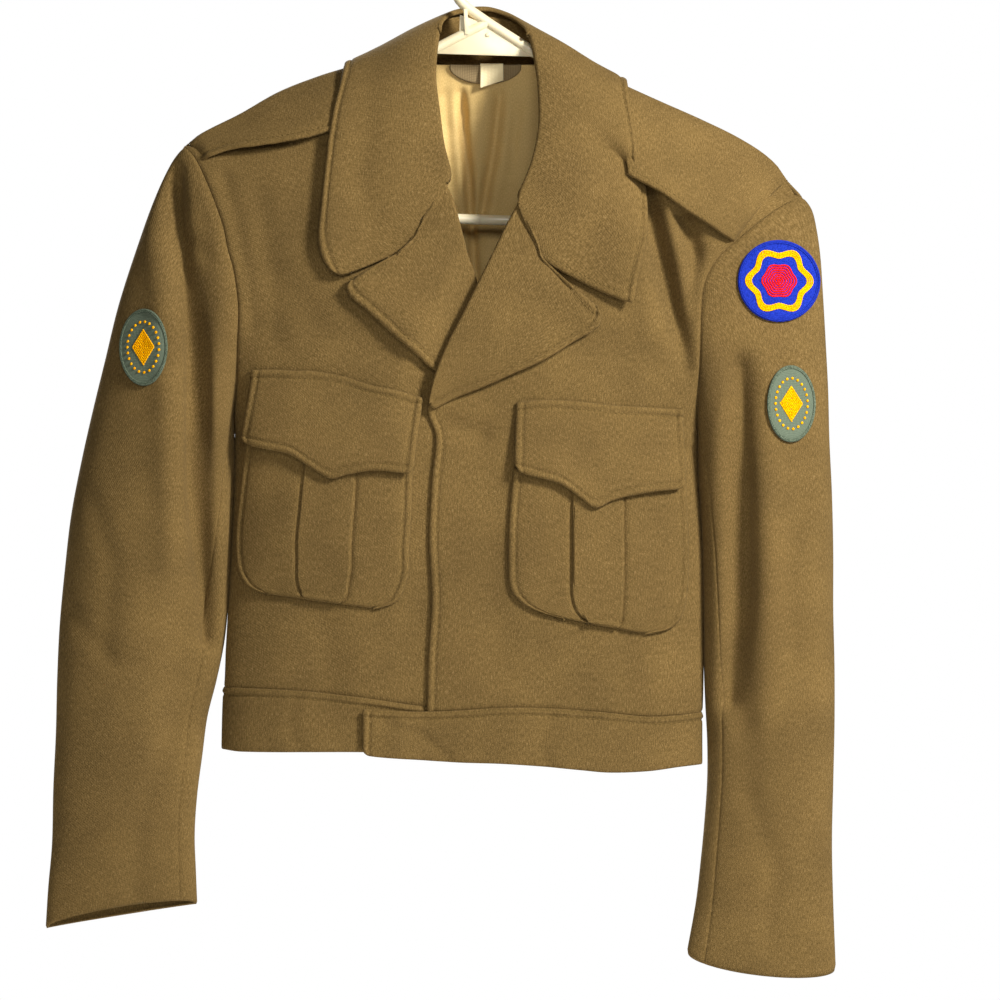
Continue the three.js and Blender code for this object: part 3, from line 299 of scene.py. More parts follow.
def woolMaterial(name, tint=1.0):
    # Brushed wool serge: a matt, hairy twill of mixed brown and straw fibres, lighter where it catches light. A
    # tint below 1 darkens the whole colour as painted shade
    look = woolLook
    material, tree, shader = newMaterial(name, {
        "Roughness": look["roughness"], "Sheen Weight": look["sheen"], "Sheen Roughness": 0.45,
        "Sheen Tint": fromHex("#b59f70"), "Specular IOR Level": 0.12, "IOR": 1.5})
    uv = addNode(tree, "ShaderNodeUVMap", {"uv_map": "cut"})
    streaks = addNode(tree, "ShaderNodeMapping", {
        "Scale": (1000 / look["streakWide"], 1000 / look["streakLong"], 1)}, {"Vector": uv.outputs["UV"]})
    streakNoise = addNode(tree, "ShaderNodeTexNoise", {
        "noise_dimensions": "2D", "Scale": 1.0, "Detail": 3.0, "Roughness": 0.6},
        {"Vector": streaks.outputs["Vector"]})
    coords = addNode(tree, "ShaderNodeTexCoord")
    fibres = addNode(tree, "ShaderNodeTexNoise", {
        "Scale": 1000 / look["fibre"], "Detail": 4.0, "Roughness": 0.7}, {"Vector": coords.outputs["Object"]})
    clouds = addNode(tree, "ShaderNodeTexNoise", {
        "Scale": 1000 / 55, "Detail": 3.0, "Roughness": 0.55}, {"Vector": coords.outputs["Object"]})
    blend = addNode(tree, "ShaderNodeMix", {"data_type": "FLOAT", "Factor": 0.5},
                    {2: streakNoise.outputs["Fac"], 3: fibres.outputs["Fac"]})
    heather = addNode(tree, "ShaderNodeValToRGB", {}, {"Fac": blend.outputs[0]}, [
        (0.30, look["dark"]), (0.46, look["middle"]), (0.58, look["light"]), (0.74, look["fleck"])])
    # Broad random clouds of tone; the tint scales them, so a tint below 1 paints shade over the whole cloth
    shade = addNode(tree, "ShaderNodeMapRange", {
        "From Min": 0.3, "From Max": 0.7, "To Min": 0.84 * tint, "To Max": 1.1 * tint},
        {"Value": clouds.outputs["Fac"]})
    colour = addNode(tree, "ShaderNodeMix", {"data_type": "RGBA", "blend_type": "MULTIPLY", 0: 1.0},
                     {6: heather.outputs["Color"], 7: shade.outputs["Result"]})
    tree.links.new(colour.outputs[2], shader.inputs["Base Color"])
    turned = addNode(tree, "ShaderNodeMapping", {
        "Rotation": (0, 0, math.radians(58)), "Scale": (1000 / look["threadSpacing"],) * 3},
        {"Vector": uv.outputs["UV"]})
    ribs = addNode(tree, "ShaderNodeTexWave", {
        "Scale": 0.32, "Distortion": 1.4, "Detail": 2.0, "Detail Scale": 1.6},
        {"Vector": turned.outputs["Vector"]})
    ribBump = addNode(tree, "ShaderNodeBump", {"Strength": 0.28, "Distance": 0.0004},
                      {"Height": ribs.outputs["Fac"]})
    fibreBump = addNode(tree, "ShaderNodeBump", {"Strength": 0.55, "Distance": 0.0007},
                        {"Height": fibres.outputs["Fac"], "Normal": ribBump.outputs["Normal"]})
    tree.links.new(fibreBump.outputs["Normal"], shader.inputs["Normal"])
    return material


def liningMaterial():
    # Cotton sateen: fine, smooth and slightly shiny along its folds
    material, tree, shader = newMaterial("cottonSateenLining", {
        "Roughness": 0.6, "Sheen Weight": 0.02, "Specular IOR Level": 0.15, "IOR": 1.5})
    uv = addNode(tree, "ShaderNodeUVMap", {"uv_map": "cut"})
    threads = addNode(tree, "ShaderNodeMapping", {"Scale": (1000 / 0.7, 1000 / 1.5, 1)},
                      {"Vector": uv.outputs["UV"]})
    weave = addNode(tree, "ShaderNodeTexNoise", {"noise_dimensions": "2D", "Detail": 2.0, "Scale": 1.0},
                    {"Vector": threads.outputs["Vector"]})
    colour = addNode(tree, "ShaderNodeValToRGB", {}, {"Fac": weave.outputs["Fac"]},
                     [(0.25, "#ccaa66"), (0.55, "#d8b674"), (0.8, "#e4c484")])
    tree.links.new(colour.outputs["Color"], shader.inputs["Base Color"])
    relief = addNode(tree, "ShaderNodeBump", {"Strength": 0.12, "Distance": 0.0003},
                     {"Height": weave.outputs["Fac"]})
    tree.links.new(relief.outputs["Normal"], shader.inputs["Normal"])
    return material


def plainWeave(name, dark, light, spacing):
    # A plain woven tape or twill: crossing threads at an even spacing in mm
    material, tree, shader = newMaterial(name, {
        "Roughness": 0.9, "Sheen Weight": 0.03, "Specular IOR Level": 0.1, "IOR": 1.5})
    uv = addNode(tree, "ShaderNodeUVMap", {"uv_map": "cut"})
    grid = addNode(tree, "ShaderNodeMapping", {"Scale": (1000 / spacing,) * 3}, {"Vector": uv.outputs["UV"]})
    across = addNode(tree, "ShaderNodeTexWave", {"Scale": 0.31, "Distortion": 0.6},
                     {"Vector": grid.outputs["Vector"]})
    along = addNode(tree, "ShaderNodeTexWave", {"Scale": 0.31, "Distortion": 0.6, "bands_direction": "Y"},
                    {"Vector": grid.outputs["Vector"]})
    both = addNode(tree, "ShaderNodeMath", {"operation": "MULTIPLY"},
                   {0: across.outputs["Fac"], 1: along.outputs["Fac"]})
    ramp = addNode(tree, "ShaderNodeValToRGB", {}, {"Fac": both.outputs[0]}, [(0.0, dark), (0.8, light)])
    tree.links.new(ramp.outputs["Color"], shader.inputs["Base Color"])
    relief = addNode(tree, "ShaderNodeBump", {"Strength": 0.4, "Distance": 0.0003},
                     {"Height": both.outputs[0]})
    tree.links.new(relief.outputs["Normal"], shader.inputs["Normal"])
    return material


def threadMaterial(name, dark, light, shine=0.6):
    # Twisted sewing or embroidery thread: strands in a darker and a lighter tone by noise; the lighter bars are
    # painted sheen, where satin strands catch light
    material, tree, shader = newMaterial(name, {
        "Roughness": shine, "Specular IOR Level": 0.0, "IOR": 1.5})
    coords = addNode(tree, "ShaderNodeTexCoord")
    strands = addNode(tree, "ShaderNodeTexNoise", {"Scale": 1000 / 0.9, "Detail": 2.0},
                      {"Vector": coords.outputs["Object"]})
    ramp = addNode(tree, "ShaderNodeValToRGB", {}, {"Fac": strands.outputs["Fac"]},
                   [(0.35, dark), (0.65, light)])
    tree.links.new(ramp.outputs["Color"], shader.inputs["Base Color"])
    relief = addNode(tree, "ShaderNodeBump", {"Strength": 0.4, "Distance": 0.0003},
                     {"Height": strands.outputs["Fac"]})
    tree.links.new(relief.outputs["Normal"], shader.inputs["Normal"])
    return material


def plasticMaterial():
    # Moulded polystyrene: smooth, cream white, a soft gloss and faint flow clouds
    material, tree, shader = newMaterial("mouldedPolystyrene", {
        "Roughness": 0.32, "IOR": 1.59, "Coat Weight": 0.15, "Coat Roughness": 0.2,
        "Subsurface Weight": 0.05, "Subsurface Scale": 0.004})
    coords = addNode(tree, "ShaderNodeTexCoord")
    flow = addNode(tree, "ShaderNodeTexNoise", {"Scale": 1000 / 30, "Detail": 2.0},
                   {"Vector": coords.outputs["Object"]})
    ramp = addNode(tree, "ShaderNodeValToRGB", {}, {"Fac": flow.outputs["Fac"]},
                   [(0.3, "#dccba2"), (0.7, "#e8dab6")])
    tree.links.new(ramp.outputs["Color"], shader.inputs["Base Color"])
    marks = addNode(tree, "ShaderNodeTexNoise", {"Scale": 1000 / 2.5, "Detail": 3.0},
                    {"Vector": coords.outputs["Object"]})
    relief = addNode(tree, "ShaderNodeBump", {"Strength": 0.08, "Distance": 0.0002},
                     {"Height": marks.outputs["Fac"]})
    tree.links.new(relief.outputs["Normal"], shader.inputs["Normal"])
    return material


finishes = {
    "wool": woolMaterial("brushedWoolSerge"),
    # Darker copy of the same wool, tint 0.85, for the inside faces of the shell: painted shade
    "woolShade": woolMaterial("brushedWoolSergeUnderside", 0.85),
    "lining": liningMaterial(),
    "facing": plainWeave("greyBrownTwillFacing", "#84704e", "#a48e68", 1.4),
    "tape": plainWeave("creamWovenTape", "#efd9a4", "#fff1c9", 1.1),
    "seamThread": threadMaterial("oliveSewingThread", "#5a4826", "#77623a"),
    "edgeThread": threadMaterial("greyGreenEdgeThread", "#3f4a3c", "#6a7360"),
    "goldThread": threadMaterial("goldEmbroideryThread", "#e08a00", "#ffbf0a", 0.65),
    "blueThread": threadMaterial("blueEmbroideryThread", "#16267f", "#2438a8", 0.65),
    "redThread": threadMaterial("redEmbroideryThread", "#d0140a", "#f4281a", 0.65),
    "felt": plainWeave("greyGreenFelt", "#56604f", "#6d7764", 1.3),
    "plastic": plasticMaterial(),
}
print("finishes ready")


# Sheets of cloth
# Places from 0 to 1 along a length, close together by a finished edge so that its stitching shows.
def stopsOf(lengthMm, lowEdge, highEdge, step=None):
    step = step or cloth["step"]
    inset = cloth["stitchInset"]
    near = {
        "stitched": [0.0, 0.6, 1.5, 2.8, 4.2, inset - 0.9, inset, inset + 0.9, inset + 2.2],
        "double": [0.0, 0.6, 1.4, 2.0, 2.8, 4.0, 5.0, inset, inset + 0.9, inset + 2.2],
        "seam": [0.0, 0.7, 1.6, 3.0],
        "plain": [0.0, 0.8],
        None: [0.0],
    }
    low = [d for d in near[lowEdge] if d < lengthMm * 0.5]
    high = [lengthMm - d for d in near[highEdge] if d < lengthMm * 0.5]
    span = high[-1] - low[-1]
    count = max(1, math.ceil(span / step))
    middle = [low[-1] + span * i / count for i in range(1, count)]
    return [d / lengthMm for d in low + middle + list(reversed(high))]


def edgeRelief(kind, distance):
    if kind is None or distance > 12:
        return 0.0
    inset = cloth["stitchInset"]
    if kind == "seam":
        return -0.9 * bump(distance, 1.5)
    if kind == "plain":
        return -0.9 * max(0.0, 1 - distance / 1.3) ** 2
    roll = -1.1 * max(0.0, 1 - distance / 1.6) ** 2
    puff = 0.7 * bump(distance - inset * 0.5, inset * 0.32)
    groove = -0.95 * bump(distance - inset, 1.0)
    if kind == "double":
        groove -= 0.6 * bump(distance - 1.8, 0.7)
    return roll + puff + groove


def lengthsAlong(line):
    total, out = 0.0, [0.0]
    for a, b in zip(line, line[1:]):
        total += (b - a).length
        out.append(total)
    return out


# A sheet on a grid: point(u, v) in mm; edges are the kinds at low u, high u, low v and high v.
def makeSheet(name, point, us, vs, outward, thickness, finish="wool", edges=(None, None, None, None),
              relief=None, nodes=None, inside=None,
              flat=(0, 0)):
    columns, rows = len(us), len(vs)
    places = [[point(u, v) for u in us] for v in vs]
    alongU = [lengthsAlong(row) for row in places]
    alongV = [lengthsAlong([places[j][i] for j in range(rows)]) for i in range(columns)]
    normals = []
    for j in range(rows):
        line = []
        for i in range(columns):
            across = places[j][min(columns - 1, i + 1)] - places[j][max(0, i - 1)]
            up = places[min(rows - 1, j + 1)][i] - places[max(0, j - 1)][i]
            line.append(across.cross(up).normalized())
        normals.append(line)
    middle = normals[rows // 2][columns // 2]
    turn = 1 if middle.dot(Vector(outward)) > 0 else -1
    for j in range(rows):
        for i in range(columns):
            normals[j][i] = normals[j][i] * turn
            distances = (alongU[j][i], alongU[j][-1] - alongU[j][i],
                         alongV[i][j], alongV[i][-1] - alongV[i][j])
            lift = sum(edgeRelief(kind, d) for kind, d in zip(edges, distances))
            if relief:
                lift += relief(us[i], vs[j], distances, places[j][i])
            places[j][i] = places[j][i] + normals[j][i] * lift
    bm = bmesh.new()
    bmesh.ops.create_grid(bm, x_segments=columns - 1, y_segments=rows - 1, size=0.5)
    spot = {}
    for vert in bm.verts:
        i = round((vert.co.x + 0.5) * (columns - 1))
        j = round((vert.co.y + 0.5) * (rows - 1))
        spot[vert] = (i, j)
        vert.co = places[j][i] * mm
    layer = bm.loops.layers.uv.new("cut")
    midU, midV = alongU[rows // 2], alongV[columns // 2]
    for face in bm.faces:
        face.smooth = True
        for loop in face.loops:
            i, j = spot[loop.vert]
            loop[layer].uv = (midU[i] * mm, midV[j] * mm)
    if turn < 0:
        bmesh.ops.reverse_faces(bm, faces=bm.faces)
    area = sum(face.calc_area() for face in bm.faces)
    mesh = bpy.data.meshes.new(name)
    bm.to_mesh(mesh)
    bm.free()
    piece = bpy.data.objects.new(name, mesh)
    bpy.context.scene.collection.objects.link(piece)
    mesh.materials.append(finishes[finish])
    if inside:
        mesh.materials.append(finishes[inside])
    wall = piece.modifiers.new("thickness", "SOLIDIFY")
    wall.thickness = thickness * mm
    wall.offset = -1
    wall.use_rim = True
    # Inside faces take the second material; on the shell that is the darker wool copy, painted shade
    if inside:
        wall.material_offset = 1
    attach(piece, "root")
    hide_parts(*(nodes or [name.replace("Cloth", "")]))
    width = round(max(flat[0], max(line[-1] for line in alongU)) * mm, 3)
    length = round(max(flat[1], max(line[-1] for line in alongV)) * mm, 3)
    return {"places": places, "normals": normals, "alongU": alongU, "alongV": alongV}


# Stitching: joined low dashes laid along a line on a sheet
stitching = {"long": 2.6, "pitch": 4.1, "thick": 0.34, "wide": 0.42, "sunk": 0.12}
stitchLines = []


# Points at a distance in mm from one side of a sheet ('lowU', 'highU', 'lowV' or 'highV').
def lineAcross(sheet, side, distance, start=0.0, stop=1.0, clear=(0.0, 0.0)):
    places, normals = sheet["places"], sheet["normals"]
    rows, columns = len(places), len(places[0])
    byRow = side.endswith("U")
    count = rows if byRow else columns
    out = []
    for k in range(count):
        share = k / (count - 1)
        if not start <= share <= stop:
            continue
        line = sheet["alongU"][k] if byRow else sheet["alongV"][k]
        other = sheet["alongV"] if byRow else sheet["alongU"]
        target = distance if side.startswith("low") else line[-1] - distance
        if target < 0 or target > line[-1]:
            continue
        n = min(len(line) - 2, max(0, bisect_right(line, target) - 1))
        t = clamp((target - line[n]) / max(1e-6, line[n + 1] - line[n]))
        if byRow:
            a, b, na, nb = places[k][n], places[k][n + 1], normals[k][n], normals[k][n + 1]
            cross = other[n]
        else:
            a, b, na, nb = places[n][k], places[n + 1][k], normals[n][k], normals[n + 1][k]
            cross = other[n]
        if cross[k] < clear[0] or cross[-1] - cross[k] < clear[1]:
            continue
        out.append((a.lerp(b, t), na.lerp(nb, t).normalized()))
    return out


def sew(line):
    if len(line) > 1:
        stitchLines.append(line)


# One stitch of unit size lying along X: its corners and its faces. Its copies are joined as plain lists,
# because thousands of bmesh copies take minutes.
def dashShape():
    bm = bmesh.new()
    bmesh.ops.create_uvsphere(bm, u_segments=6, v_segments=4, radius=1.0,
                              matrix=Matrix.Rotation(math.pi / 2, 4, "Y"))
    bm.verts.index_update()
    shape = [vert.co.copy() for vert in bm.verts], [[v.index for v in face.verts] for face in bm.faces]
    bm.free()
    return shape


def makeStitches(name, lines, finish, size):
    corners, faces = dashShape()
    places, polygons = [], []
    for line in lines:
        travelled = lengthsAlong([p for p, _ in line])
        count = max(1, round(travelled[-1] / size["pitch"]))
        for k in range(count):
            target = (k + 0.5) * travelled[-1] / count
            n = min(len(line) - 2, bisect_right(travelled, target) - 1)
            t = (target - travelled[n]) / max(1e-6, travelled[n + 1] - travelled[n])
            (a, na), (b, nb) = line[n], line[n + 1]
            along = (b - a).normalized()
            up = na.lerp(nb, t).normalized()
            across = up.cross(along).normalized()
            centre = a.lerp(b, t) + up * (size["thick"] * 0.5 - size["sunk"])
            matrix = Matrix((
                (along.x * size["long"] / 2, across.x * size["wide"], up.x * size["thick"], centre.x),
                (along.y * size["long"] / 2, across.y * size["wide"], up.y * size["thick"], centre.y),
                (along.z * size["long"] / 2, across.z * size["wide"], up.z * size["thick"], centre.z),
                (0, 0, 0, 1)))
            first = len(places)
            places += [(matrix @ corner) * mm for corner in corners]
            polygons += [[first + index for index in face] for face in faces]
    mesh = bpy.data.meshes.new(name)
    mesh.from_pydata(places, [], polygons)
    mesh.polygons.foreach_set("use_smooth", [True] * len(polygons))
    mesh.materials.append(finishes[finish])
    piece = bpy.data.objects.new(name, mesh)
    bpy.context.scene.collection.objects.link(piece)
    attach(piece, "root")
    return piece


# Moves a place a and b mm in from two edges so that their corner becomes a round one.
def roundedCorner(a, b, radius):
    if a >= radius or b >= radius:
        return a, b
    p, q = 1 - a / radius, 1 - b / radius
    return radius * (1 - p * math.sqrt(1 - q * q / 2)), radius * (1 - q * math.sqrt(1 - p * p / 2))


# Fronts and back
armholeStops = [1, 0.96, 0.89, 0.8, 0.69, 0.57, 0.45, 0.33, 0.23, 0.15, 0.09, 0.045, 0.015, 0]
bandTopLeft = curveOf([
    (-88, -634), (-43, -636), (-12, -635), (20, -633), (51, -633), (82, -635), (105, -637),
    (136, -640), (160, -639), (179, -637)])
bandTopRight = curveOf([(-199, -617), (-183, -618), (-136, -620), (-82, -626), (-38, -632), (2, -633)])


def bandTopBack(x):
    return mix(-617, -637, (x + 199) / 378)


def armholeTurns():
    return [math.acos(1 - 2 * s) for s in armholeStops]


# Row numbers closer together than the table's, by the height of each row in mm.
def finerRows(heights, step):
    out = []
    for k in range(len(heights) - 1):
        count = max(1, math.ceil(abs(heights[k + 1] - heights[k]) / step))
        out += [k + i / count for i in range(count)]
    return out + [len(heights) - 1]


def frontPoint(side, bodyRows, innerHeights, innerEdge, bandTop, sinkAt):
    innerZ = overIndex([row[0] for row in bodyRows] + innerHeights)
    outerTurn = overIndex([math.pi] * len(bodyRows) + armholeTurns())
    outerBody = overIndex([row[1] for row in bodyRows] + [side["bottom"][1]])
    bodyCount = len(bodyRows)
    top = bodyCount + len(armholeStops) - 1
    topInner = (innerEdge(innerZ(top)), innerZ(top))

    def point(u, v):
        az = innerZ(v)
        if v < bodyCount:
            bz, crown = outerBody(v), 0.0
        else:
            s = (1 - math.cos(outerTurn(v))) / 2
            bz, crown = mix(side["top"][1], side["bottom"][1], s), smooth(1 - s / 0.45)
        ax, bx = innerEdge(az), side["edge"](bz)
        x = mix(ax, bx, u)
        rise = ridge(mix(topInner[0], side["top"][0], u)) - mix(topInner[1], side["top"][1], u)
        low = (bandTop(x) + 0.1 - mix(az, bz, u)) * (1 - v) if v < 1 else 0.0
        z = mix(az, bz, u) + crown * rise + low
        return facePoint(frontSide, x, z, sinkAt(x, z))

    return point, [row[0] for row in bodyRows] + innerHeights


rightInner = curveOf([
    (-633, 2), (-456, 2), (-389, 2), (-323, 2), (-302, 0), (-280, -7), (-262, -12), (-243, -18),
    (-224, -26), (-210, -31), (-192, -36), (-168, -41), (-145, -46), (-120, -49)])
fronts = {
    "left": {
        "side": leftSide, "inner": lapEdge, "band": bandTopLeft, "sink": noSink,
        "wide": 214, "flat": (310, 530),
        "rows": [(-633, -637), (-596, -600), (-549, -553), (-502, -506), (-456, -463)],
        "heights": [-420, -414, -404, -383, -360, -336, -312, -285, -248, -215, -185, -158, -137, -125],
    },
    "right": {
        "side": rightSide, "inner": rightInner, "band": bandTopRight, "sink": lapSink,
        "wide": 195, "flat": (250, 530),
        "rows": [(-633, -616), (-596, -590), (-549, -548), (-502, -504), (-462, -460)],
        "heights": [-424, -415, -398, -379, -356, -326, -296, -260, -226, -197, -172, -150, -133, -120],
    },
}
for sideName, front in fronts.items():
    point, heights = frontPoint(front["side"], front["rows"], front["heights"], front["inner"],
                                front["band"], front["sink"])
    innerKind = "stitched" if sideName == "left" else "plain"
    sheet = makeSheet(
        f"front_{sideName}Cloth", point, stopsOf(front["wide"], innerKind, "seam"),
        finerRows(heights, cloth["step"]), (0, -1, 0), cloth["shell"], inside="woolShade",
        edges=(innerKind, "seam", "seam", "seam"), flat=front["flat"])
    if sideName == "left":
        sew(lineAcross(sheet, "lowU", cloth["stitchInset"], 0.0, 0.46))
print("fronts ready")

backShape = {
    "neck": curveOf([(-49, -120), (-38, -127), (-25, -131), (9, -133), (44, -132), (58, -129), (68, -125)]),
    "rows": [(-617, -637), (-590, -600), (-548, -553), (-504, -506), (-460, -463)],
}
backTurn = overIndex([math.pi] * 5 + armholeTurns())
backRight = overIndex([row[0] for row in backShape["rows"]] + [rightSide["bottom"][1]])
backLeft = overIndex([row[1] for row in backShape["rows"]] + [leftSide["bottom"][1]])


def backPoint(u, v):
    if v < 5:
        az, bz, crown = backRight(v), backLeft(v), 0.0
    else:
        s = (1 - math.cos(backTurn(v))) / 2
        az = mix(rightSide["top"][1], rightSide["bottom"][1], s)
        bz = mix(leftSide["top"][1], leftSide["bottom"][1], s)
        crown = smooth(1 - s / 0.45)
    x = mix(rightSide["edge"](az), leftSide["edge"](bz), u)
    topX = mix(rightSide["top"][0], leftSide["top"][0], u)
    topZ = backShape["neck"](topX) if -49 < topX < 68 else ridge(topX)
    rise = topZ - mix(rightSide["top"][1], leftSide["top"][1], u)
    base = (bandTopBack(x) + 0.1 - mix(az, bz, u)) * (1 - v) if v < 1 else 0.0
    return facePoint(backSide, x, mix(az, bz, u) + crown * rise + base)


backHeights = [-637, -600, -553, -506, -463] + [mix(-180, -430, s) for s in armholeStops]
makeSheet("back_panelCloth", backPoint, stopsOf(390, "seam", "seam"), finerRows(backHeights, cloth["step"]),
          (0, 1, 0), cloth["shell"], inside="woolShade", edges=("seam", "seam", "seam", None),
          flat=(500, 530))
print("back ready")

# Sleeves
sleeveColumns = ["ox", "oz", "ix", "iz", "half"]
sleeves = {
    "left": {
        "side": leftSide, "drop": -11, "rings": table(sleeveColumns, [
            (256, -232, 175, -430, 30), (264, -243, 174, -437, 32), (268, -259, 174, -446, 33),
            (271, -281, 174.5, -459, 34), (273, -311, 176, -477, 35), (275, -346, 177, -498, 36),
            (277, -385, 178, -522, 37), (278, -424, 178.6, -548, 37), (280, -467, 179, -574, 36),
            (281, -512, 179.4, -602, 34), (281, -557, 180.5, -631, 32), (282, -602, 182, -660, 30),
            (282, -647, 182, -690, 27), (281, -693, 180, -721, 25), (280, -740, 177, -753, 22),
            (281, -787, 173, -787, 19), (283, -839, 166, -826, 17)]),
        "trough": [(3, 0.62, 0), (5, 0.7, 5), (7, 0.73, 7), (9, 0.72, 6), (11, 0.7, 4), (13, 0.68, 0)],
    },
    "right": {
        "side": rightSide, "drop": 8, "rings": table(sleeveColumns, [
            (-228, -193, -189, -417, 30), (-239, -208, -188.5, -424, 32), (-252, -236, -188, -436, 33),
            (-267, -278, -188, -449, 34), (-280, -319, -188.7, -467, 35), (-290, -360, -189.6, -488, 36),
            (-300, -401, -190.8, -510, 37), (-309, -441, -192.2, -534, 37), (-317, -483, -194, -558, 36),
            (-322, -526, -197, -584, 34), (-326, -569, -203, -613, 32), (-328, -612, -210, -641, 30),
            (-329, -654, -214, -671, 27), (-331, -697, -218, -702, 25), (-332, -740, -220, -733, 22),
            (-335, -775, -219, -763, 19), (-337, -807, -218, -788, 17)]),
        "trough": [(0.5, 0.2, 0), (2, 0.36, 4), (4, 0.66, 6), (6, 0.77, 7), (8, 0.8, 6), (11, 0.8, 3),
                   (13, 0.78, 0)],
    },
}
sleeveFolds = {
    "left": {
        "front": [
            {"deep": 9.5, "wide": 9, "path": [(207, -366), (208, -393), (208, -549), (203, -588),
                                              (199, -627)]},
            {"deep": -3.0, "wide": 11, "path": [(228, -380), (230, -540), (224, -640)]},
            {"deep": 2.0, "wide": 9, "path": [(256, -470), (246, -520), (250, -600)]},
            {"deep": 1.8, "wide": 8, "path": [(272, -600), (240, -640), (206, -652)]},
            {"deep": 1.8, "wide": 9, "path": [(214, -700), (232, -760), (230, -820)]}],
        "back": [
            {"deep": 3.5, "wide": 11, "path": [(214, -330), (222, -420), (226, -560), (218, -650)]},
            {"deep": 2.2, "wide": 8, "path": [(268, -560), (236, -590), (200, -596)]},
            {"deep": 2.0, "wide": 8, "path": [(272, -610), (240, -632), (206, -630)]}],
    },
    "right": {
        "front": [
            {"deep": 12, "wide": 8, "path": [(-238, -212), (-234, -253), (-225, -303), (-220, -346),
                                              (-218, -393), (-217, -456), (-212, -518), (-207, -580)]},
            {"deep": -3.5, "wide": 10, "path": [(-258, -240), (-246, -310), (-242, -400), (-238, -520)]},
            {"deep": 1.8, "wide": 4, "path": [(-224, -267), (-214, -276), (-199, -284)]},
            {"deep": 1.6, "wide": 9, "path": [(-300, -470), (-284, -520), (-290, -590)]},
            {"deep": 1.6, "wide": 8, "path": [(-318, -560), (-280, -600), (-240, -606)]},
            {"deep": 1.8, "wide": 9, "path": [(-236, -650), (-262, -720), (-266, -790)]}],
        "back": [
            {"deep": 3.5, "wide": 11, "path": [(-214, -300), (-226, -400), (-240, -540), (-250, -640)]},
            {"deep": 2.2, "wide": 8, "path": [(-310, -530), (-270, -560), (-228, -560)]},
            {"deep": 2.0, "wide": 8, "path": [(-314, -584), (-276, -604), (-236, -598)]}],
    },
}
seamFade = overIndex([1, 0.9, 0.76, 0.6, 0.44, 0.3, 0.17, 0.07, 0])


# The head of a sleeve turns in at the armhole, like a seam allowance
sleeveTuck = {"perRing": 16, "rings": [-0.25, -0.15, -0.06], "length": 5.0}
sleeveLengths = [0, 18, 38, 60, 88, 118, 150, 184, 218, 254, 292, 330, 368, 408, 448, 488, 530]


def sleevePoint(sideName):
    sleeve = sleeves[sideName]
    side = sleeve["side"]
    rings = [dict(row, ring=k) for k, row in enumerate(sleeve["rings"])]
    at = {name: curve(rings, "ring", name) for name in sleeveColumns}
    troughPlace = curveOf([(ring, place) for ring, place, _ in sleeve["trough"]])
    troughBy = curveOf([(ring, deep) for ring, _, deep in sleeve["trough"]])
    lastRing = len(rings) - 1
    topX, topZ = side["top"]
    lowX, lowZ = side["bottom"]
    seed = 40.0 if sideName == "left" else 60.0

    def point(turn, ring):
        s = (1 - math.cos(turn)) / 2
        seamX, seamZ, _ = armholePoint(side, s)
        share = seamFade(ring)
        tuck = max(0.0, -ring) * sleeveTuck["perRing"]
        ring = max(0.0, ring)
        x = mix(at["ox"](ring), at["ix"](ring), s) + (seamX - mix(topX, lowX, s)) * share
        z = mix(at["oz"](ring), at["iz"](ring), s) + (seamZ - mix(topZ, lowZ, s)) * share
        trough = troughBy(ring) * bump(s - troughPlace(ring), 0.13)
        full = at["half"](ring) * mix(abs(math.sin(turn)), roundShare(s), seamFade(ring))
        hang = drape(x, z, seed + (7 if math.sin(turn) < 0 else 0)) * 1.3
        fade = abs(math.sin(turn)) * smooth(ring / 1.5)
        half = full - min(trough, 0.6 * full) + hang * fade
        z += sleeve["drop"] * max(0.0, math.sin(turn)) * smooth((ring - lastRing + 3) / 3)
        half = max(0.0, half - tuck)
        x -= side["sign"] * tuck * 0.8
        y = -math.copysign(half, math.sin(turn))
        return Vector((x, y, z))

    return point


frontSeam, backSeam, seamTurn = math.acos(1 - 2 * 0.89), math.acos(1 - 2 * 0.69), -0.014
for sideName, sleeve in sleeves.items():
    point = sleevePoint(sideName)
    rings = sleeveTuck["rings"] + finerRows(sleeveLengths, 3.2)
    halves = {
        "upper": (-(backSeam - seamTurn), frontSeam - seamTurn, 200, sleeve["side"]["sign"]),
        "under": (frontSeam + seamTurn, 2 * math.pi - backSeam - seamTurn, 80, -sleeve["side"]["sign"]),
    }

    def sleeveRelief(u, v, distances, p):
        folds = sleeveFolds[sideName]["front" if p.y < 0 else "back"]
        seam = 0.9 * bump(distances[2] - sleeveTuck["length"], 1.5)
        return -troughDepth(folds, p.x, p.z) * smooth(abs(p.y) / 14) * smooth(v / 1.2) - seam

    for half, (fromTurn, toTurn, wide, outX) in halves.items():
        us = [mix(fromTurn, toTurn, t) for t in stopsOf(wide, "seam", "seam")]
        makeSheet(f"sleeve_{sideName}_{half}Cloth", point, us, rings, (outX, 0, 0), cloth["shell"],
                  inside="woolShade", edges=("seam", "seam", None, "plain"), relief=sleeveRelief)
print("sleeves ready")

# Waistband
bands = {
    "tabEnd": -88, "hiddenEnd": 2, "rampFrom": -62, "rampTo": -38, "tabLift": cloth["band"] + 0.9,
    "hemLeft": curveOf([
        (-88, -668), (-82, -671), (-43, -674), (-12, -676), (20, -677), (51, -679), (82, -682),
        (105, -684), (136, -683), (160, -680), (180, -678)]),
    "hemRight": curveOf([(-200, -666), (-183, -668), (-82, -668), (-38, -670), (2, -672)]),
}


def tabShare(x):
    return smooth((x - bands["rampFrom"]) / (bands["rampTo"] - bands["rampFrom"]))


def edgeLift(x, side):
    return 0.8 * smooth(abs(x - side["edge"](-650)) / 30)


def hemBack(x):
    return mix(-666, -678, (x + 200) / 380)


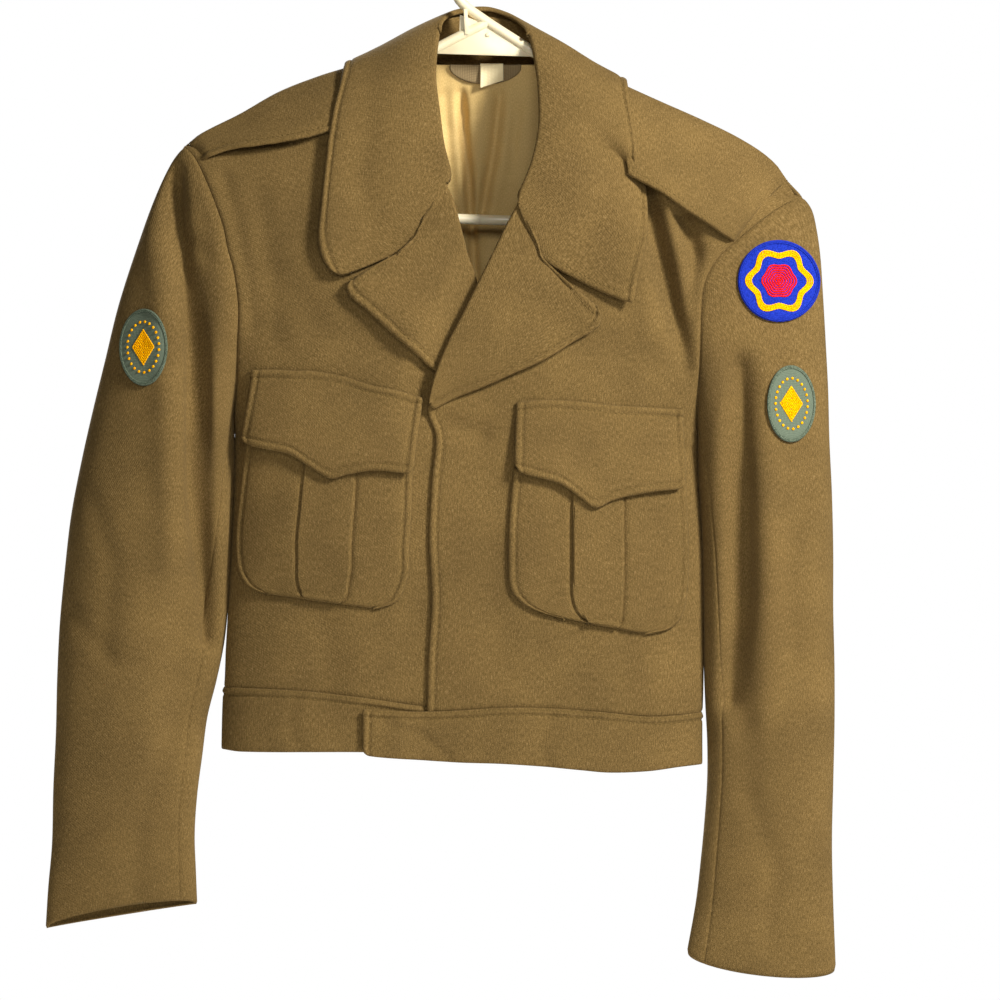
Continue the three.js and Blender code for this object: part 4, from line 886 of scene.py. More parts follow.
def bandPoint(face, fromX, toX, topAt, hemAt, liftAt, endRadius=0.0):
    def point(u, v):
        wide = toX(-650) - fromX(-650)
        tall = 45.0
        a, b = u * wide, min(v, 1 - v) * tall
        if endRadius:
            a, b = roundedCorner(a, b, endRadius)
            u, v = a / wide, (b / tall if v < 0.5 else 1 - b / tall)
        guess = mix(fromX(-650), toX(-650), u)
        z = mix(hemAt(guess), topAt(guess), v)
        x = mix(fromX(z), toX(z), u)
        return facePoint(face, x, z, -liftAt(x))

    return point


bandStops = stopsOf(45, "plain", "double")
bandCrease = [{"deep": 1.3, "wide": 4, "path": [(-70, -645), (-40, -655), (-22, -672)]},
              {"deep": 1.0, "wide": 5, "path": [(60, -640), (52, -660), (58, -680)]},
              {"deep": 0.9, "wide": 5, "path": [(-140, -625), (-146, -648), (-138, -664)]}]


def creaseRelief(u, v, distances, p):
    return -troughDepth(bandCrease, p.x, p.z)


sheet = makeSheet(
    "waistband_leftCloth",
    bandPoint(frontSide, lambda z: bands["tabEnd"], leftSide["edge"], bandTopLeft, bands["hemLeft"],
              lambda x: edgeLift(x, leftSide) + bands["tabLift"] * (1 - tabShare(x)), 3.0),
    stopsOf(267, "stitched", "seam"), bandStops, (0, -1, 0), cloth["band"],
    edges=("stitched", "seam", "plain", "double"), relief=creaseRelief)
sew(lineAcross(sheet, "highV", 1.8, clear=(7, 2)))
sew(lineAcross(sheet, "highV", cloth["stitchInset"], clear=(7, 2)))
sew(lineAcross(sheet, "lowU", cloth["stitchInset"], clear=(3, 7)))
sheet = makeSheet(
    "waistband_rightCloth",
    bandPoint(frontSide, rightSide["edge"], lambda z: bands["hiddenEnd"], bandTopRight, bands["hemRight"],
              lambda x: edgeLift(x, rightSide) - bands["tabLift"] * tabShare(x)),
    stopsOf(202, "seam", "plain"), bandStops, (0, -1, 0), cloth["band"],
    edges=("seam", "plain", "plain", "double"), relief=creaseRelief)
sew(lineAcross(sheet, "highV", 1.8, 0.0, 0.6))
sew(lineAcross(sheet, "highV", cloth["stitchInset"], 0.0, 0.8))
sheet = makeSheet(
    "waistband_backCloth",
    bandPoint(backSide, rightSide["edge"], leftSide["edge"], bandTopBack, hemBack,
              lambda x: min(edgeLift(x, leftSide), edgeLift(x, rightSide))),
    stopsOf(390, "seam", "seam"), bandStops, (0, 1, 0), cloth["band"],
    edges=("seam", "seam", "plain", "double"))
sew(lineAcross(sheet, "highV", 1.8))
sew(lineAcross(sheet, "highV", cloth["stitchInset"]))
print("waistband ready")

# Collar: stations round the neck, from the right front end to the left front end
collarColumns = ["seamX", "seamOver", "foldX", "foldZ", "foldY", "midX", "midZ", "midY", "edgeX", "edgeOver"]
collarRows = table(collarColumns, [
    (-24, 10.7, -20, -224, -45, -47, -272, -46, -113, 12.7),
    (-31, 9.8, -23, -210, -46, -70, -245, -48, -121, 11.4),
    (-36, 8.8, -27, -192, -46, -71, -212, -47, -119, 10),
    (-41, 7.1, -30, -167, -44, -70, -180, -45, -115, 8.2),
    (-46, 5, -33, -140, -36, -69, -150, -37, -110, 5.9),
    (-48, 2.9, -32, -115, -19, -67, -126, -21, -104, 3.7),
    (-49, 0, -30, -100, -4, -64, -111, -2, -98, 0),
    (-43, -2.2, -25, -90, 10, -58, -106, 18, -88, -2.5),
    (-27, -4.2, -12, -84, 25, -36, -108, 35, -55, -5.6),
    (9, -5.2, 9, -83, 33, 9, -114, 43, 9, -7.7),
    (39, -4.5, 26, -87, 27, 48, -113, 36, 66, -5.9),
    (60, -2.9, 38, -95, 11, 72, -115, 20, 102, -2.8),
    (68, 0, 44, -103, -4, 79, -119, -2, 114, 0),
    (67, 4, 48, -119, -17, 84, -136, -21, 118, 3.7),
    (65, 6, 51, -144, -30, 88, -158, -37, 122, 5.9),
    (60, 7.8, 52, -173, -42, 90, -185, -45, 126, 7.6),
    (53, 9.3, 48, -200, -46, 90, -213, -47, 129, 9.3),
    (45, 10.5, 41, -222, -47, 87, -247, -49, 129, 11),
    (35, 11.4, 33, -240, -47, 55, -286, -47, 124, 12.9),
])
collarRows = [dict(row, station=k) for k, row in enumerate(collarRows)]
collarLast = len(collarRows) - 1
collarAt = {name: curve(collarRows, "station", name) for name in collarColumns}
collar = {
    "neckCentre": 9, "leafWide": 118.0, "endStation": 17.0, "leafLift": cloth["collar"] + 1.6,
    "foldRadius": 2.9, "curl": 4.0,
    "ends": [
        [(-20, -224), (-29, -241), (-37, -252), (-42, -262), (-47, -272), (-62, -280), (-78, -287),
         (-96, -294), (-113, -299)],
        [(33, -240), (37, -251), (42, -262), (48, -275), (55, -286), (74, -297), (94, -307),
         (111, -314), (124, -318)]],
    "cornerRadius": [11.0, 3.5],
}


def overRidge(x, over, lift):
    return liftedPoint(frontSide if over >= 0 else backSide, x, ridge(x) - over * over, lift)


def pathPoint(path, t):
    at = clamp(t) * (len(path) - 1)
    i = min(len(path) - 2, int(at))
    return mix(path[i][0], path[i + 1][0], at - i), mix(path[i][1], path[i + 1][1], at - i)


edgeCache = {}
collarEnds = [(overIndex([x for x, _ in path]), overIndex([z for _, z in path])) for path in collar["ends"]]


# x and z across the leaf at a station that the table gives, before the end's own shape
def endAcross(station, w):
    row = collarRows[station]
    x, z = row["edgeX"], ridge(row["edgeX"]) - row["edgeOver"] ** 2
    handleX, handleZ = 2 * row["midX"] - (row["foldX"] + x) / 2, 2 * row["midZ"] - (row["foldZ"] + z) / 2
    return (row["foldX"] * (1 - w) ** 2 + handleX * 2 * w * (1 - w) + x * w * w,
            row["foldZ"] * (1 - w) ** 2 + handleZ * 2 * w * (1 - w) + z * w * w)


def leafPoint(w, station):
    near, radius = (station, collar["cornerRadius"][0]) if station < 9 else (
        collarLast - station, collar["cornerRadius"][1])
    if w > 0:
        wide, step = collar["leafWide"], collar["endStation"]
        a, b = roundedCorner((1 - w) * wide, near * step, radius)
        w, near = 1 - a / wide, b / step
        station = near if station < 9 else collarLast - near
    if station not in edgeCache:
        c = {name: collarAt[name](station) for name in collarColumns}
        edgeCache[station] = (c, overRidge(c["edgeX"], c["edgeOver"], collar["leafLift"]))
    c, edge = edgeCache[station]
    fold = Vector((c["foldX"], c["foldY"], c["foldZ"]))
    mid = Vector((c["midX"], c["midY"], c["midZ"]))
    handle = mid * 2 - (fold + edge) / 2
    if w < 0:
        first = (handle - fold).normalized()
        up = Vector((0, -0.6, 0.8)) if station < 6 or station > 12 else Vector((0, 0.5, 0.85))
        normal = (up - first * up.dot(first)).normalized()
        turn = -w * math.pi
        radius = collar["foldRadius"]
        return fold - first * radius * math.sin(turn) - normal * radius * (1 - math.cos(turn))
    p = fold * (1 - w) ** 2 + handle * 2 * w * (1 - w) + edge * w * w
    for end, (endX, endZ) in ((0, collarEnds[0]), (collarLast, collarEnds[1])):
        away = abs(station - end)
        if away < 2:
            share = smooth(1 - away / 2)
            x, z = endAcross(end, w)
            p.x += (endX(8 * w) - x) * share
            p.z += (endZ(8 * w) - z) * share
    return p


leafTroughs = [
    {"deep": 2.0, "wide": 9, "path": [(92, -86), (84, -104), (74, -118)]},
    {"deep": 1.2, "wide": 12, "path": [(96, -190), (100, -230), (92, -262)]},
    {"deep": 1.2, "wide": 12, "path": [(-84, -180), (-90, -220), (-82, -250)]},
]


def gorgeRelief(across, distance):
    seam = edgeRelief("seam", distance) * 0.6
    return mix(seam, edgeRelief("stitched", distance), smooth((across - 0.46) / 0.06))


def leafRelief(u, v, distances, p):
    soft = 0.8 * noise.noise(Vector((p.x / 45, p.z / 45, 70.0))) * smooth(distances[0] / 20)
    curl = collar["curl"] * smooth(1 - distances[1] / 45) * smooth((distances[0] - 30) / 60)
    near = min(distances[2], distances[3])
    curl += gorgeRelief(u, near)
    return soft + curl - (troughDepth(leafTroughs, p.x, p.z) if p.y < 0 else 0.0)


foldStops = [-0.9, -0.75, -0.6, -0.45, -0.3, -0.2, -0.1, -0.04]
stationLengths = [0, 17, 34, 56, 84, 112, 132, 150, 176, 212, 240, 262, 280, 300, 326, 354, 382, 402, 420]
stationStops = finerRows(stationLengths, 2.6)
dense = [0.03, 0.08, 0.16, 0.25, 0.32, 0.36, 0.41, 0.47]
stationStops = sorted(set([s for s in stationStops if 0.5 < s < collarLast - 0.5 or s in (0, collarLast)]
                          + dense + [collarLast - d for d in dense]))
leafStops = foldStops + stopsOf(collar["leafWide"], None, "stitched", 2.8)
leaf = makeSheet("collar_leafCloth", leafPoint, leafStops, stationStops,
                 (0, 0.6, 0.8), cloth["collar"], edges=(None, "stitched", None, None),
                 relief=leafRelief)
sew(lineAcross(leaf, "highU", cloth["stitchInset"], clear=(6, 6)))
sew(lineAcross(leaf, "lowV", cloth["stitchInset"], 0.45, 1.0, clear=(0, 6)))
sew(lineAcross(leaf, "highV", cloth["stitchInset"], 0.45, 1.0, clear=(0, 6)))


def standPoint(h, station):
    c = {name: collarAt[name](station) for name in collarColumns}
    backShare = smooth((5 - abs(station - 9)) / 3)
    seam = overRidge(c["seamX"], c["seamOver"], -1.2)
    seam.x += math.copysign(2.6 * (1 - backShare), collar["neckCentre"] - c["seamX"])
    seam.z += mix(0.7, 6.0, backShare)
    fold = Vector((c["foldX"], c["foldY"], c["foldZ"]))
    inwards = Vector((c["seamX"] - c["foldX"], -c["foldY"], seam.z - 20 - c["foldZ"])).normalized()
    bottom = seam - (fold - seam).normalized() * 3.0 * backShare
    return bottom.lerp(fold + inwards * (cloth["collar"] + 4.8), h)


makeSheet("collar_standCloth", standPoint, stopsOf(30, "plain", "plain", 2.5),
          [mix(1.5, 16.5, k / 150) for k in range(151)], (0, -1, 0), 1.6,
          edges=("plain", "plain", None, None))
print("collar ready")

# Lapels
lapelColumns = ["rollX", "rollZ", "outX", "outZ"]
lapelLengths = [0, 14, 34, 58, 84, 110, 134, 156, 178]
lapelEdgeRows = [0, 0.04, 0.1, 0.2, 0.3, 0.37, 0.43, 0.49, 0.58]
lapelSize = {"wide": 100.0, "firstRow": 14.0, "crown": 3.0, "curl": 3.2}
lapels = {
    "left": {
        "sink": noSink, "tip": 7.0, "foldRadius": 2.6, "under": 3.0,
        "gorge": [(33, -241.5), (36, -252), (41, -263), (47, -276), (54, -287.5), (65, -297.5),
                  (77, -308), (89, -317), (98, -324)],
        "rows": table(lapelColumns, [
            (33, -243, 98, -324), (23, -264, 96, -335), (13, -285, 78, -347), (2, -307, 55, -361),
            (-8, -327, 31, -372), (-20, -350, 4, -384), (-29, -372, -16, -392), (-36, -396, -32, -400)]),
    },
    "right": {
        "sink": lapSink, "tip": 7.0, "foldRadius": 2.6, "under": 3.0,
        "gorge": [(-22, -227), (-29, -243), (-36, -254), (-41, -264), (-46, -273.5), (-60, -282),
                  (-74, -289), (-88, -296.5), (-100, -304)],
        "rows": table(lapelColumns, [
            (-22, -227, -100, -304), (-17, -243, -97, -312), (-12, -262, -83, -324),
            (-7, -281, -65, -340), (0, -302, -49, -354), (2, -323, -37, -366), (2, -340, -30, -371),
            (2, -356, -22, -376), (2, -372, -8, -379)]),
    },
}
for sideName, lapel in lapels.items():
    rows = [dict(row, row=k) for k, row in enumerate(lapel["rows"])]
    last = len(rows) - 1
    at = {name: curve(rows, "row", name) for name in lapelColumns}
    sinkAt, gorge, tip, foldRadius = lapel["sink"], lapel["gorge"], lapel["tip"], lapel["foldRadius"]

    def flatPoint(u, v):
        x, z = mix(at["rollX"](v), at["outX"](v), u), mix(at["rollZ"](v), at["outZ"](v), u)
        if v < 1:
            gx, gz = pathPoint(gorge, u)
            x, z = mix(gx, x, v), mix(gz, z, v)
            under = lapel["under"] * (1 - smooth((u - 0.34) / 0.12)) * smooth(1 - v)
            x += math.copysign(0.9, at["outX"](0) - at["rollX"](0)) * under
            z += 0.43 * under
        hidden = sinkAt(x, z) / body["overlapSink"]
        crown = lapelSize["crown"] * math.sin(math.pi * clamp(u * 0.9 + 0.1)) * (1 - v / last) * (1 - hidden)
        crown *= smooth(v / 1.6 + 0.1)
        return liftedPoint(frontSide, x, z, cloth["collar"] + 1.4 + 0.7 * hidden + crown, sinkAt(x, z))

    def point(u, v):
        if u < 0:
            start = flatPoint(0, v)
            first = (flatPoint(0.06, v) - start).normalized()
            up = Vector((0, -1, 0))
            normal = (up - first * up.dot(first)).normalized()
            turn = -u * math.pi
            radius = foldRadius * smooth((last - v) / 0.8 + 0.15)
            return start - first * radius * math.sin(turn) - normal * radius * (1 - math.cos(turn))
        wide, tall = lapelSize["wide"], lapelSize["firstRow"]
        a, b = roundedCorner((1 - u) * wide, v * tall, tip)
        return flatPoint(1 - a / wide, b / tall)

    def lapelRelief(u, v, distances, p):
        curl = lapelSize["curl"] * smooth(1 - distances[1] / 40) * smooth(distances[0] / 50)
        curl *= smooth(distances[3] / 60)
        return curl + gorgeRelief(u, distances[2])

    rowStops = finerRows(lapelLengths[:last + 1], 2.6)
    rowStops = sorted(set(lapelEdgeRows + [r for r in rowStops if r > 0.62]))
    sheet = makeSheet(
        f"lapel_{sideName}Cloth", point,
        foldStops + stopsOf(lapelSize["wide"], None, "stitched", 2.6), rowStops,
        (0, -1, 0), cloth["collar"], edges=(None, "stitched", None, None), relief=lapelRelief)
    sew(lineAcross(sheet, "highU", cloth["stitchInset"], clear=(6, 0)))
    sew(lineAcross(sheet, "lowV", cloth["stitchInset"], 0.52, 1.0, clear=(0, 6)))
print("lapels ready")

# Shoulder straps
strapColumns = ["ridgeX", "frontX", "frontZ", "backX", "backDrop"]
straps = {
    "left": table(strapColumns, [
        (117, 128, -222, 117, 6), (136, 144, -232, 136, 7), (156, 161, -244, 156, 8),
        (176, 177, -254, 176, 9), (203, 188, -261, 203, 10), (234, 196, -267, 230, 12)]),
    "right": table(strapColumns, [
        (-103, -114, -184, -106, 20), (-121, -129, -190, -123, 22), (-144, -152, -195, -145, 24),
        (-168, -176, -199, -166, 26), (-190, -192, -201, -185, 28), (-214, -206, -203, -199, 30)]),
}


# A place over the shoulder that smooths out what lies under it
def bridgePoint(face, x, z, lift, window):
    def ground(atX, atZ):
        return sum(bodyDepth(face, atX, atZ + window * k / 3) for k in range(-3, 4)) / 7

    step = 3.0
    slopeX = (ground(x + step, z) - ground(x - step, z)) / (2 * step)
    slopeZ = (ground(x, z + step) - ground(x, z - step)) / (2 * step)
    normal = Vector((-slopeX, face["sign"], -slopeZ)).normalized()
    return Vector((x, face["sign"] * (cloth["halfSeam"] + ground(x, z)), z)) + normal * lift


for sideName, rows in straps.items():
    rows = [dict(row, row=k) for k, row in enumerate(rows)]
    at = {name: curve(rows, "row", name) for name in strapColumns}

    def point(u, across):
        face = frontBridge if across <= 0 else backBridge
        endX = at["frontX"](u) if across <= 0 else at["backX"](u)
        x = mix(at["ridgeX"](u), endX, across * across)
        drop = ridge(endX) - at["frontZ"](u) if across <= 0 else at["backDrop"](u)
        lift = mix(0.6, cloth["strap"] + cloth["restGap"] + 1.2, smooth((5 - u) / 0.3))
        reach = mix(11, 6, across * across) * smooth(u - 4) - 9 * smooth(1 - u)
        x += math.copysign(1, x) * reach
        return bridgePoint(face, x, ridge(x) - drop * across * across, lift, 9 * min(1.0, 3 * abs(across)))

    def strapRelief(u, v, distances, p):
        lift = 3.0 if sideName == "left" else 4.0
        return lift * smooth(1 - distances[2] / 26) * smooth(distances[0] / 40) * smooth(distances[1] / 40)

    us = [5 * t for t in stopsOf(125, "plain", "plain")]
    vs = [-1 + 2 * t for t in stopsOf(95, "stitched", "stitched")]
    sheet = makeSheet(
        f"shoulder_strap_{sideName}Cloth", point, us, vs, (0, -0.7, 0.7), cloth["strap"],
        edges=("plain", "plain", "stitched", "stitched"), relief=strapRelief)
    sew(lineAcross(sheet, "lowV", cloth["stitchInset"]))
    sew(lineAcross(sheet, "highV", cloth["stitchInset"]))
print("straps ready")

# Pockets
bagColumns = ["lx", "lz", "rx", "rz"]
bags = {
    "left": {
        "pleat": (0.35, 0.635), "sink": noSink, "rows": table(bagColumns, [
            (30, -446, 164, -455), (27, -479, 165, -483), (26, -506, 166, -506), (26, -530, 166, -530),
            (28, -541, 164, -551), (35, -550, 159, -565), (47, -557, 151, -572), (66, -563, 136, -576)])},
    "right": {
        "pleat": (0.36, 0.66), "sink": lapSink, "rows": table(bagColumns, [
            (-178, -423, -48, -443), (-182, -456, -49, -475), (-184, -475, -50, -495),
            (-186, -495, -51, -510), (-186, -514, -51, -526), (-184, -527, -55, -540),
            (-177, -538, -61, -550), (-165, -544, -75, -556)])},
}
pocket = {
    "bagWide": 138, "bagLengths": [0, 33, 52, 72, 88, 101, 111, 117], "flapWide": 134.0, "flapTall": 58.0,
    "flapCorner": 9.0, "pleatRaise": 1.3, "pleatStep": 0.012, "pleatLine": 1.3,
    "bagLift": cloth["pocket"] + cloth["restGap"],
}
for sideName, bag in bags.items():
    rows = [dict(row, row=k) for k, row in enumerate(bag["rows"])]
    last = len(rows) - 1
    at = {name: curve(rows, "row", name) for name in bagColumns}
    fromU, toU = bag["pleat"]
    sinkAt = bag["sink"]

    def point(u, v):
        x, z = mix(at["lx"](v), at["rx"](v), u), mix(at["lz"](v), at["rz"](v), u)
        raised = smooth((u - fromU) / pocket["pleatStep"] + 0.5) * smooth((toU - u) / pocket["pleatStep"] + 0.5)
        lift = pocket["bagLift"] + 0.7 * math.sin(math.pi * u) + pocket["pleatRaise"] * raised
        return liftedPoint(frontSide, x, z, lift, sinkAt(x, z))

    def bagRelief(u, v, distances, p):
        wide = pocket["bagWide"]
        lines = bump((u - fromU) * wide + 1.2, 1.0) + bump((u - toU) * wide - 1.2, 1.0)
        folds = 0.9 * noise.noise(Vector((p.x / 26, p.z / 60, 90.0)))
        return folds * smooth(min(distances) / 15) - pocket["pleatLine"] * lines

    us = stopsOf(pocket["bagWide"], "stitched", "stitched", 2.4)
    for edge in (fromU, toU):
        us += [edge + d / pocket["bagWide"] for d in (-2.4, -1.6, -0.9, -0.4, 0.4, 0.9, 1.6)]
    us = sorted(set(us))
    sheet = makeSheet(
        f"pocket_bag_{sideName}Cloth", point, us, finerRows(pocket["bagLengths"], 2.5),
        (0, -1, 0), cloth["pocket"], edges=("stitched", "stitched", None, "stitched"), relief=bagRelief)
    sew(lineAcross(sheet, "lowU", cloth["stitchInset"], 0.1, 0.9))
    sew(lineAcross(sheet, "highU", cloth["stitchInset"], 0.1, 0.9))
    sew(lineAcross(sheet, "highV", cloth["stitchInset"], 0.04, 0.96))

flapColumns = ["topX", "topZ", "lowX", "lowZ"]
flaps = {
    "left": {"sink": noSink, "columns": table(flapColumns, [
        (32, -395, 30, -449), (49, -393, 51, -454), (66, -393, 67, -459), (80, -394, 81, -469),
        (91, -395, 93, -477), (107, -397, 107, -471), (129, -398, 129, -466), (147, -399, 145, -464),
        (162, -400, 161, -463)])},
    "right": {"sink": lapSink, "columns": table(flapColumns, [
        (-174, -369, -179, -427), (-156, -369, -161, -431), (-140, -370, -143, -435),
        (-129, -370, -129, -444), (-115, -372, -112, -454), (-100, -375, -98, -451),
        (-82, -381, -78, -448), (-58, -386, -58, -450), (-40, -391, -48, -451)])},
}
for sideName, flap in flaps.items():
    columns = [dict(row, column=k) for k, row in enumerate(flap["columns"])]
    at = {name: curve(columns, "column", name) for name in flapColumns}
    sinkAt = flap["sink"]

    def point(u, v):
        wide, tall = pocket["flapWide"], pocket["flapTall"]
        if v > 0.5:
            a, b = roundedCorner(min(u, 1 - u) * wide, (1 - v) * tall, pocket["flapCorner"])
            u, v = (a / wide if u < 0.5 else 1 - a / wide), 1 - b / tall
        column = u * 8
        x, z = mix(at["topX"](column), at["lowX"](column), v), mix(at["topZ"](column), at["lowZ"](column), v)
        lift = mix(cloth["pocket"] + 1.1, 2 * cloth["pocket"] + cloth["restGap"] + pocket["pleatRaise"] + 1.3,
                   smooth(v * 1.3))
        return liftedPoint(frontSide, x, z, lift, sinkAt(x, z))

    def flapRelief(u, v, distances, p):
        soft = 0.9 * noise.noise(Vector((p.x / 38, p.z / 30, 120.0))) * smooth(min(distances) / 14)
        return soft + 1.8 * smooth(1 - distances[3] / 26)

    sheet = makeSheet(
        f"pocket_flap_{sideName}Cloth", point, stopsOf(pocket["flapWide"], "stitched", "stitched", 2.4),
        stopsOf(pocket["flapTall"], "stitched", "stitched", 2.4), (0, -1, 0), cloth["pocket"],
        edges=("stitched", "stitched", "stitched", "stitched"), relief=flapRelief)
    for edge in ("lowU", "highU", "lowV", "highV"):
        sew(lineAcross(sheet, edge, cloth["stitchInset"], clear=(6, 6)))
print("pockets ready")

# Inside of the neck
liningFolds = [
    {"deep": 8, "wide": 3.6, "path": [(-11, -150), (-7, -200), (-3, -250), (0, -300)]},
    {"deep": 6, "wide": 4.2, "path": [(19, -150), (14, -200), (4, -250)]},
    {"deep": 1.8, "wide": 4, "path": [(-24, -150), (-20, -200), (-14, -260)]},
    {"deep": -1.2, "wide": 4, "path": [(6, -160), (2, -210), (1, -260)]},
    {"deep": 1.6, "wide": 4, "path": [(34, -160), (28, -210), (18, -250)]},
]
inner = {
    "gap": cloth["shell"] + 0.6, "lining": cloth["lining"], "fromX": -50, "toX": 70,
    "low": -330, "top": -129, "rise": 5, "labelLift": 6.8,
}


def liningPoint(u, v):
    x, z = mix(inner["fromX"], inner["toX"], u), mix(inner["low"], inner["top"], v)
    rise = inner["rise"] - troughDepth(liningFolds, x, z) * smooth((0.97 - v) / 0.15)
    rise += 1.2 * noise.noise(Vector((x / 9, z / 24, 7.0))) + 0.8 * noise.noise(Vector((x / 16, z / 8, 9.0)))
    return facePoint(backSide, x, z, inner["gap"] + 2 * inner["lining"] + max(-1.8, rise))


makeSheet("lining_backCloth", liningPoint, stopsOf(120, None, None, 1.6), stopsOf(192, None, None, 2.2),
          (0, -1, 0), cloth["lining"], finish="lining")
facing = {"half": 28, "centre": 8, "drop": 15}


def facingPoint(u, v):
    x = facing["centre"] + mix(-facing["half"], facing["half"], u)
    drop = facing["drop"] * math.sqrt(max(0.0, 1 - ((x - facing["centre"]) / (facing["half"] + 1)) ** 2))
    return facePoint(backSide, x, inner["top"] - drop * v, inner["gap"] + 4 * inner["lining"] + 5.5)


makeSheet("neck_facingCloth", facingPoint, stopsOf(56, None, None, 1.4), stopsOf(15, None, "plain", 1.2),
          (0, -1, 0), cloth["lining"], finish="facing",
          edges=(None, None, None, "plain"))


label = {"fromX": 4, "toX": 22, "longSide": 18, "shortSide": 12}


def labelPoint(u, v):
    z = inner["top"] + mix(1, -mix(label["longSide"], label["shortSide"], u), v)
    curl = 1.6 * (u - 0.5) ** 2 * 4 * v + 1.2 * v * v
    away = inner["gap"] + 4 * inner["lining"] + inner["labelLift"] + curl
    return facePoint(backSide, mix(label["fromX"], label["toX"], u), z, away)


makeSheet("neck_labelCloth", labelPoint, stopsOf(18, "plain", "plain", 1.2), stopsOf(15, None, "plain", 1.2),
          (0, -1, 0), 0.6, finish="tape")
print("inside ready")

# Sleeve patches
patches = {
    "shoulder_left": {"side": "left", "centre": (237, -300), "half": (32, 32), "finish": "blueThread",
                      "slot": "shoulder_patch", "edge": "blueThread"},
    "sleeve_left": {"side": "left", "centre": (246, -396), "half": (19, 30), "finish": "felt",
                    "slot": "sleeve_patch", "edge": "edgeThread"},
    "sleeve_right": {"side": "right", "centre": (-258, -352), "half": (19, 30), "finish": "felt",
                     "slot": "sleeve_patch", "edge": "edgeThread"},
}


def onSleeve(sideName, x, z, lift):
    point = sleevePoints[sideName]
    turn, ring = 1.5, 4.0
    for _ in range(12):
        p = point(turn, ring)
        dt = (point(turn + 0.01, ring) - p) * 100
        dr = (point(turn, ring + 0.01) - p) * 100
        ex, ez = x - p.x, z - p.z
        det = dt.x * dr.z - dr.x * dt.z
        turn = clamp(turn + clamp((ex * dr.z - dr.x * ez) / det, -0.5, 0.5), 0.03, 3.1)
        ring = clamp(ring + clamp((dt.x * ez - ex * dt.z) / det, -2, 2), 0.05, 15.9)
        if abs(ex) + abs(ez) < 0.02:
            break
    p = point(turn, ring)
    normal = (point(turn + 0.01, ring) - p).cross(point(turn, ring + 0.01) - p).normalized()
    if normal.y > 0:
        normal = -normal
    lift -= troughDepth(sleeveFolds[sideName]["front"], p.x, p.z) * smooth(abs(p.y) / 14)
    return p + normal * lift, normal


sleevePoints = {name: sleevePoint(name) for name in sleeves}


def ringLine(patch, share, count=72, wave=0.0, petals=0):
    cx, cz = patch["centre"]
    line = []
    for k in range(count + 1):
        turn = 2 * math.pi * k / count
        reach = share * (1 + wave * math.cos(petals * turn))
        spot, normal = onSleeve(patch["side"], cx + patch["half"][0] * reach * math.cos(turn),
                                cz + patch["half"][1] * reach * math.sin(turn), cloth["trim"] + 1.1)
        line.append((spot, normal))
    return line


# Embroidery: thread lengths in mm for the edge, the filled shapes and the dots
embroidery = {
    "edge": {"long": 2.6, "pitch": 1.05, "thick": 0.55, "wide": 0.75, "sunk": 0.1},
    "fill": {"long": 3.2, "pitch": 2.2, "thick": 0.5, "wide": 0.8, "sunk": 0.05},
    "dots": {"long": 2.4, "pitch": 4.6, "thick": 0.7, "wide": 1.2, "sunk": 0.05},
}
for name, patch in patches.items():
    (cx, cz), (halfWide, halfHigh) = patch["centre"], patch["half"]

    def point(u, v):
        x = cx + halfWide * u * math.sqrt(1 - v * v / 2)
        z = cz + halfHigh * v * math.sqrt(1 - u * u / 2)
        return onSleeve(patch["side"], x, z, cloth["trim"] + 1.0)[0]

    stops = [mix(-1, 1, k / 22) for k in range(23)]
    makeSheet(f"patch_{name}Cloth", point, stops, stops, (0, -1, 0), cloth["trim"], finish=patch["finish"],
              nodes=[f"patch_{name}"])
    makeStitches(f"patch_{name}Edge", [ringLine(patch, 0.965, 110), ringLine(patch, 0.93, 100)],
                 patch["edge"], embroidery["edge"])
    if name == "shoulder_left":
        gold = [ringLine(patch, share, 90, 0.1, 6) for share in (0.62, 0.66, 0.70, 0.74)]
        red = [ringLine(patch, share, 60, 0.06, 6) for share in (0.03, 0.09, 0.15, 0.21, 0.27, 0.33, 0.39)]
        makeStitches(f"patch_{name}Gold", gold, "goldThread", embroidery["fill"])
        makeStitches(f"patch_{name}Red", red, "redThread", embroidery["fill"])
    else:
        gold = [ringLine(patch, share, 4) for share in (0.04, 0.12, 0.2, 0.28, 0.36, 0.44)]
        makeStitches(f"patch_{name}Gold", gold, "goldThread", embroidery["fill"])
        makeStitches(f"patch_{name}Dots", [ringLine(patch, 0.66, 60)], "goldThread",
                     embroidery["dots"])
print("patches ready")

makeStitches("seamStitching", stitchLines, "seamThread", stitching)
print("stitching ready")

# Hanger
hanger = {"centre": 8, "apexZ": -95, "tilt": -0.031, "hookRadius": 19, "tube": 4.0, "plate": 3.0}
armRows = [(38, 23), (60, 38), (82, 50), (107, 63), (146, 82), (177, 97), (202, 111), (215, 122),
           (220, 135), (214, 148), (198, 155), (150, 156), (80, 156), (0, 156)]


def hangerPoint(dx, drop):
    c, s = math.cos(hanger["tilt"]), math.sin(hanger["tilt"])
    return Vector((hanger["centre"] + dx * c + drop * s, 0, hanger["apexZ"] + dx * s - drop * c))


def smoothPath(points, perSpan):
    out = []
    for i in range(len(points) - 1):
        a, b = points[i], points[i + 1]
        before = points[i - 1] if i else a * 2 - b
        after = points[i + 2] if i + 2 < len(points) else b * 2 - a
        for k in range(perSpan):
            t = k / perSpan
            out.append(0.5 * ((2 * a) + (b - before) * t + (2 * before - 5 * a + 4 * b - after) * t * t
                              + (3 * a - before - 3 * b + after) * t ** 3))
    return out + [points[-1]]


